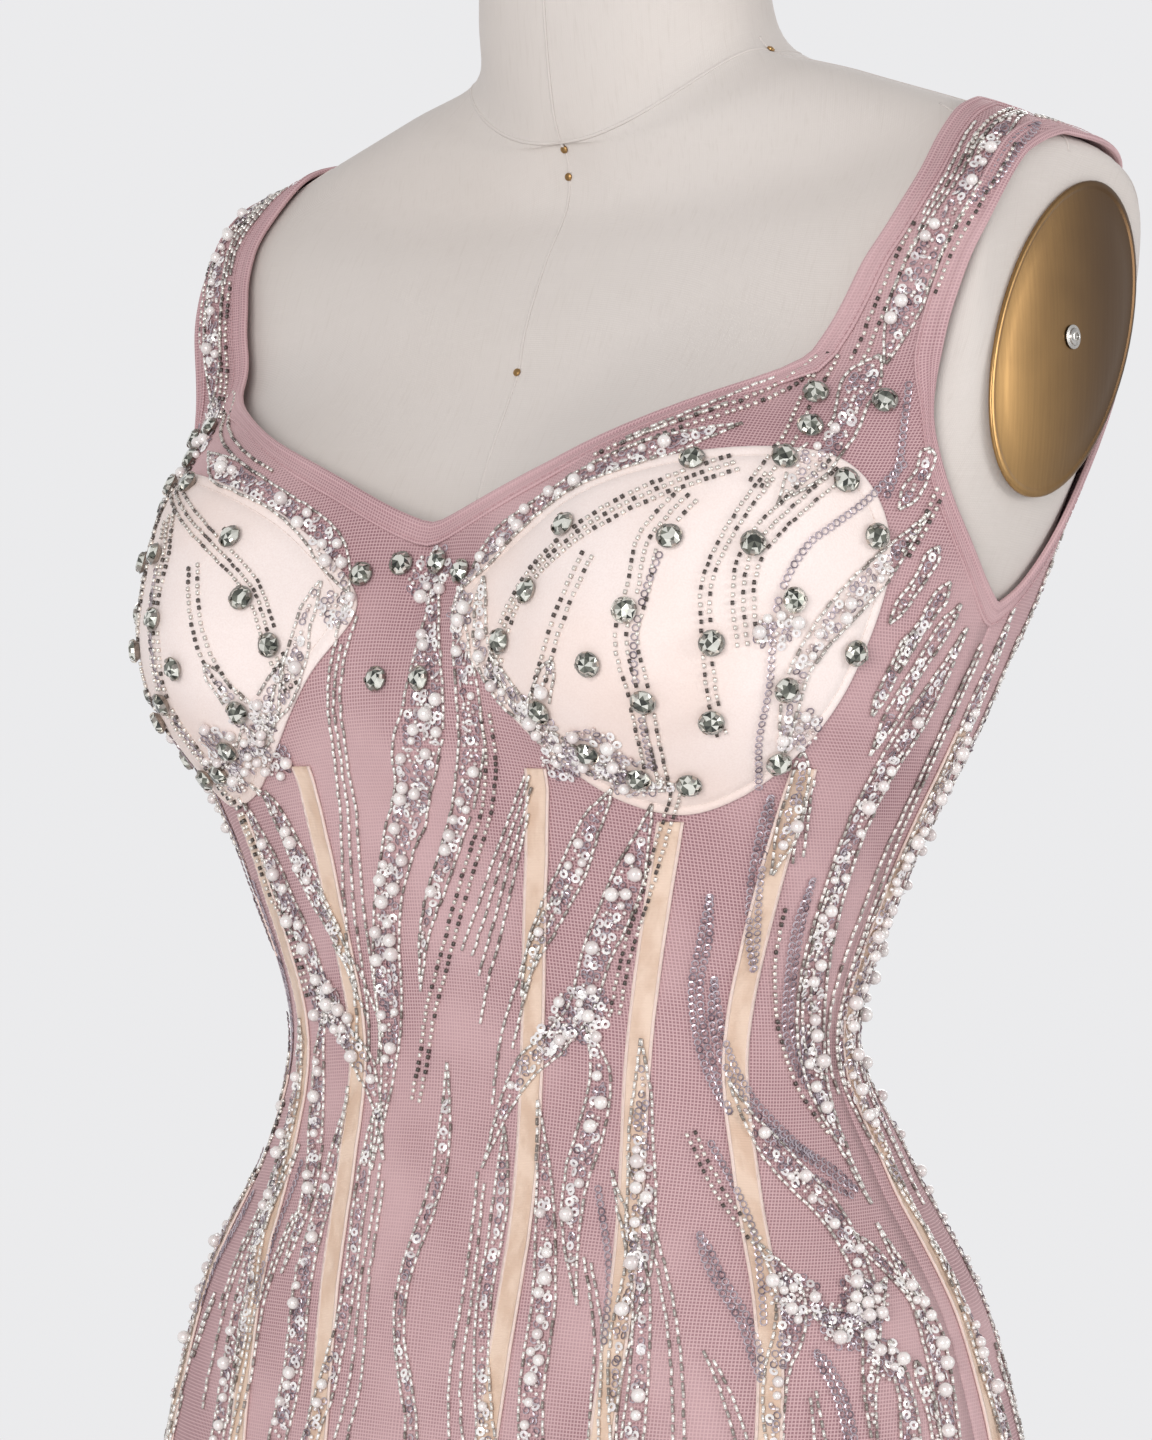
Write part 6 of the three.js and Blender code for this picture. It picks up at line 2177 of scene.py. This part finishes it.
def plate_of(name, outline, low, high, way):
    """A closed outline in millimetres, filled and extruded. way turns the outline's plane to its own."""
    mesh = bpy.data.meshes.new(name)
    mesh.from_pydata([(x * MM, y * MM, low * MM) for x, y in outline], [], [tuple(range(len(outline)))])
    part = bpy.data.objects.new(name, mesh)
    bpy.context.scene.collection.objects.link(part)
    activate(part)
    bpy.ops.object.mode_set(mode="EDIT")
    bpy.ops.mesh.select_all(action="SELECT")
    bpy.ops.mesh.extrude_region_move(TRANSFORM_OT_translate={"value": (0, 0, (high - low) * MM)})
    bpy.ops.mesh.select_all(action="SELECT")
    bpy.ops.mesh.normals_make_consistent(inside=False)
    bpy.ops.object.mode_set(mode="OBJECT")
    part.data.transform(way)
    return part


def arc(middle, radius, start, end, steps=8):
    turns = np.radians(np.linspace(start, end, steps + 1))
    return [(middle[0] + radius * math.cos(t), middle[1] + radius * math.sin(t)) for t in turns]


def add_slider():
    """The body is a plate that narrows to its tail, and the bridge is an arch."""
    w, l, t = SLIDER["width"] / 2, SLIDER["length"] / 2, SLIDER["thick"]
    outline = [(-w * 0.8, -l), (w * 0.8, -l), (w, -l * 0.1), (w, l * 0.7), (w * 0.7, l), (w * 0.12, l * 0.8),
               (-w * 0.12, l * 0.8), (-w * 0.7, l), (-w, l * 0.7), (-w, -l * 0.1)]
    body = bevelled(plate_of("zip_slider_body", outline, 0, t, Matrix.Identity(4)), 0.22)
    r, axis = SLIDER["lug_radius"], SLIDER["axis"]
    arch = [(-r, t - 0.3), (-r, axis), *arc((0, axis), r, 180, 0), (r, axis), (r, t - 0.3)]
    stand_up = Matrix.Rotation(math.pi / 2, 4, "Z") @ Matrix.Rotation(math.pi / 2, 4, "X")
    half = SLIDER["lug_width"] / 2
    bridge = bevelled(plate_of("zip_bridge", arch, -half, half, stand_up), 0.18)
    activate(body)
    bridge.select_set(True)
    bpy.ops.object.join()
    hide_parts("zip_slider")
    return finished(seated(body, slider_frame()), zip_brass)


def add_pull():
    """The pull's fork holds the bridge, and its tongue ends round."""
    slot, heel, half = SLIDER["lug_width"] / 2 + SEAM, PULL["heel"], PULL["width"] / 2
    neck, foot = -SLIDER["lug_radius"] - SEAM, -PULL["length"] + half
    outline = [(slot, heel), (slot, neck), (-slot, neck), (-slot, heel), (-half, heel), (-half, foot),
               *arc((0, foot), half, 180, 360), (half, foot), (half, heel)]
    low = SLIDER["axis"] - PULL["thick"] / 2
    pull = plate_of("zip_pull_tongue", outline[:6] + outline[7:-2] + outline[-2:], low, low + PULL["thick"],
                    Matrix.Identity(4))
    bevelled(pull, 0.25)
    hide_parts("zip_pull")
    return finished(seated(pull, slider_frame()), zip_brass, "zip_pull")


zip_brass = brushed_finish("zip_brass", tint(196, 172, 140), tint(156, 130, 98), 0.24, (600.0, 200.0, 200.0))
slider, pull = add_slider(), add_pull()
print("zip metal:", len(slider.data.polygons), len(pull.data.polygons), "faces")

# %% [markdown]
# ## Stitches
# Lines of stitches hold the bands, the tapes' edges, the cups and the turned hem. One stitch is a short thread with
# four sides, sewn along each line at the machine's own pitch and joined into one mesh, in the same way as the beads.

# %% Stitch lines
STITCH = {"length": 2.3, "radius": 0.17, "pitch": 3.0}


def stitch_rows(points, normals, pitch):
    """Rows of stitches along a line of points on the cloth."""
    length = np.concatenate([[0], np.linalg.norm(np.diff(points, axis=0), axis=1).cumsum()])
    at = np.arange(pitch / 2, length[-1], pitch)
    read = lambda columns, where: np.stack([np.interp(where, length, columns[:, k]) for k in range(3)], axis=-1)
    centre, along = read(points, at), unit(read(points, at + 0.4) - read(points, at - 0.4))
    facing = unit(read(normals, at))
    along = unit(along - facing * dot(along, facing)[:, None])
    return np.concatenate([centre, along, facing, np.ones((len(at), 1)), (at % 7)[:, None] / 7], axis=1)


def stitch_places(places, lift, pitch=STITCH["pitch"]):
    return stitch_rows(cloth_point(places, lift), figure_normal(places[:, 0], places[:, 1]), pitch)


def band_stitches(pairs, closed):
    edge = smoothed(cloth_point(pairs[:, 0]), closed, 1)
    inner = smoothed(cloth_point(pairs[:, 1]), closed, 3)
    inner = edge + unit(inner - edge) * BAND
    normal = smoothed(figure_normal(pairs[:, 0, 0], pairs[:, 0, 1]), closed, 2)
    line = inner + (edge - inner) * 0.17 + normal * (WALL + 1.12)
    return stitch_rows(line, normal, STITCH["pitch"])


def cup_stitches(sign):
    around = cup_outline(np.linspace(0, 1, 241))
    flat = CUP_MIDDLE + (around - CUP_MIDDLE) * 0.945
    places = spot(flat[:, 0], flat[:, 1]) * (1, sign)
    return stitch_places(places, WALL + cup_top(np.array(0.945)) + 0.05, 2.8)


def tape_stitches(sign):
    rows = []
    for name, top in CHANNEL_TOPS.items():
        level = np.linspace(0.05, top - 0.02, 160)
        middle = tape_middle(name, level)
        half = tape_half(name, level, middle) * TAPE_SPREAD * 0.9
        for edge in (-1, 1):
            places = np.stack([level, sign * (middle + edge * half)], axis=-1)
            rows.append(stitch_places(places, WALL + 1.0, 4.8))
    return np.concatenate(rows)


def hem_stitches():
    turns = np.linspace(-179.5, 179.5, 400)
    height = np.full(turns.shape, float(HEM["height"] + HEM["fold"]))
    return stitch_places(spot(turns, height), WALL + 0.12)


bpy.ops.mesh.primitive_cylinder_add(
    vertices=4, radius=STITCH["radius"], depth=STITCH["length"], rotation=(math.pi / 2, 0, 0))
bpy.ops.object.transform_apply(location=False, rotation=True, scale=False)
TEMPLATES["stitch"] = template()


def thread_finish(name, pale, deep):
    finish = Finish(name, roughness=0.55, sheen_weight=0.3)
    twist = finish.noise(2500.0, 1.0)
    shade = finish.attribute("shade")
    finish.feed("Base Color", finish.mix(twist.step(0.35, 0.65) * 0.5 + shade * 0.3, pale, deep))
    return finish.material


pink_thread = thread_finish("pink_thread", tint(210, 168, 170), tint(166, 122, 128))
cream_thread = thread_finish("cream_thread", tint(240, 226, 218), tint(206, 184, 172))
STITCHING = {
    "stitches_bands": ("binding", pink_thread, np.concatenate([
        band_stitches(neck_edge(), False), band_stitches(armhole_edge(), True),
        band_stitches((armhole_edge() * (1, -1))[::-1], True)])),
    "stitches_hem": ("mesh", pink_thread, hem_stitches()),
    "stitches_cup_left": ("cup_cloth", cream_thread, cup_stitches(1)),
    "stitches_cup_right": ("cup_cloth", cream_thread, cup_stitches(-1)),
    "stitches_tapes_left": ("satin_tape", cream_thread, tape_stitches(1)),
    "stitches_tapes_right": ("satin_tape", cream_thread, tape_stitches(-1)),
}
for name, (slot, thread, rows) in STITCHING.items():
    BEAD_LOOKS["stitch"] = (slot, thread)
    strew(name, "stitch", rows)
print("stitches:", sum(len(rows) for _, _, rows in STITCHING.values()))

# %% The floor's finish
floor_finish = Finish("studio_paper", roughness=0.9)
paper_grain = floor_finish.noise(3.0, 4.0)
floor_finish.feed("Base Color", floor_finish.mix(paper_grain.step(0.3, 0.7), (0.78, 0.78, 0.785), (0.74, 0.74, 0.745)))
floor_finish.bump(floor_finish.noise(400.0, 3.0), 0.0002, 0.2)
floor.data.materials.append(floor_finish.material)
print("floor:", floor_finish.material.name)
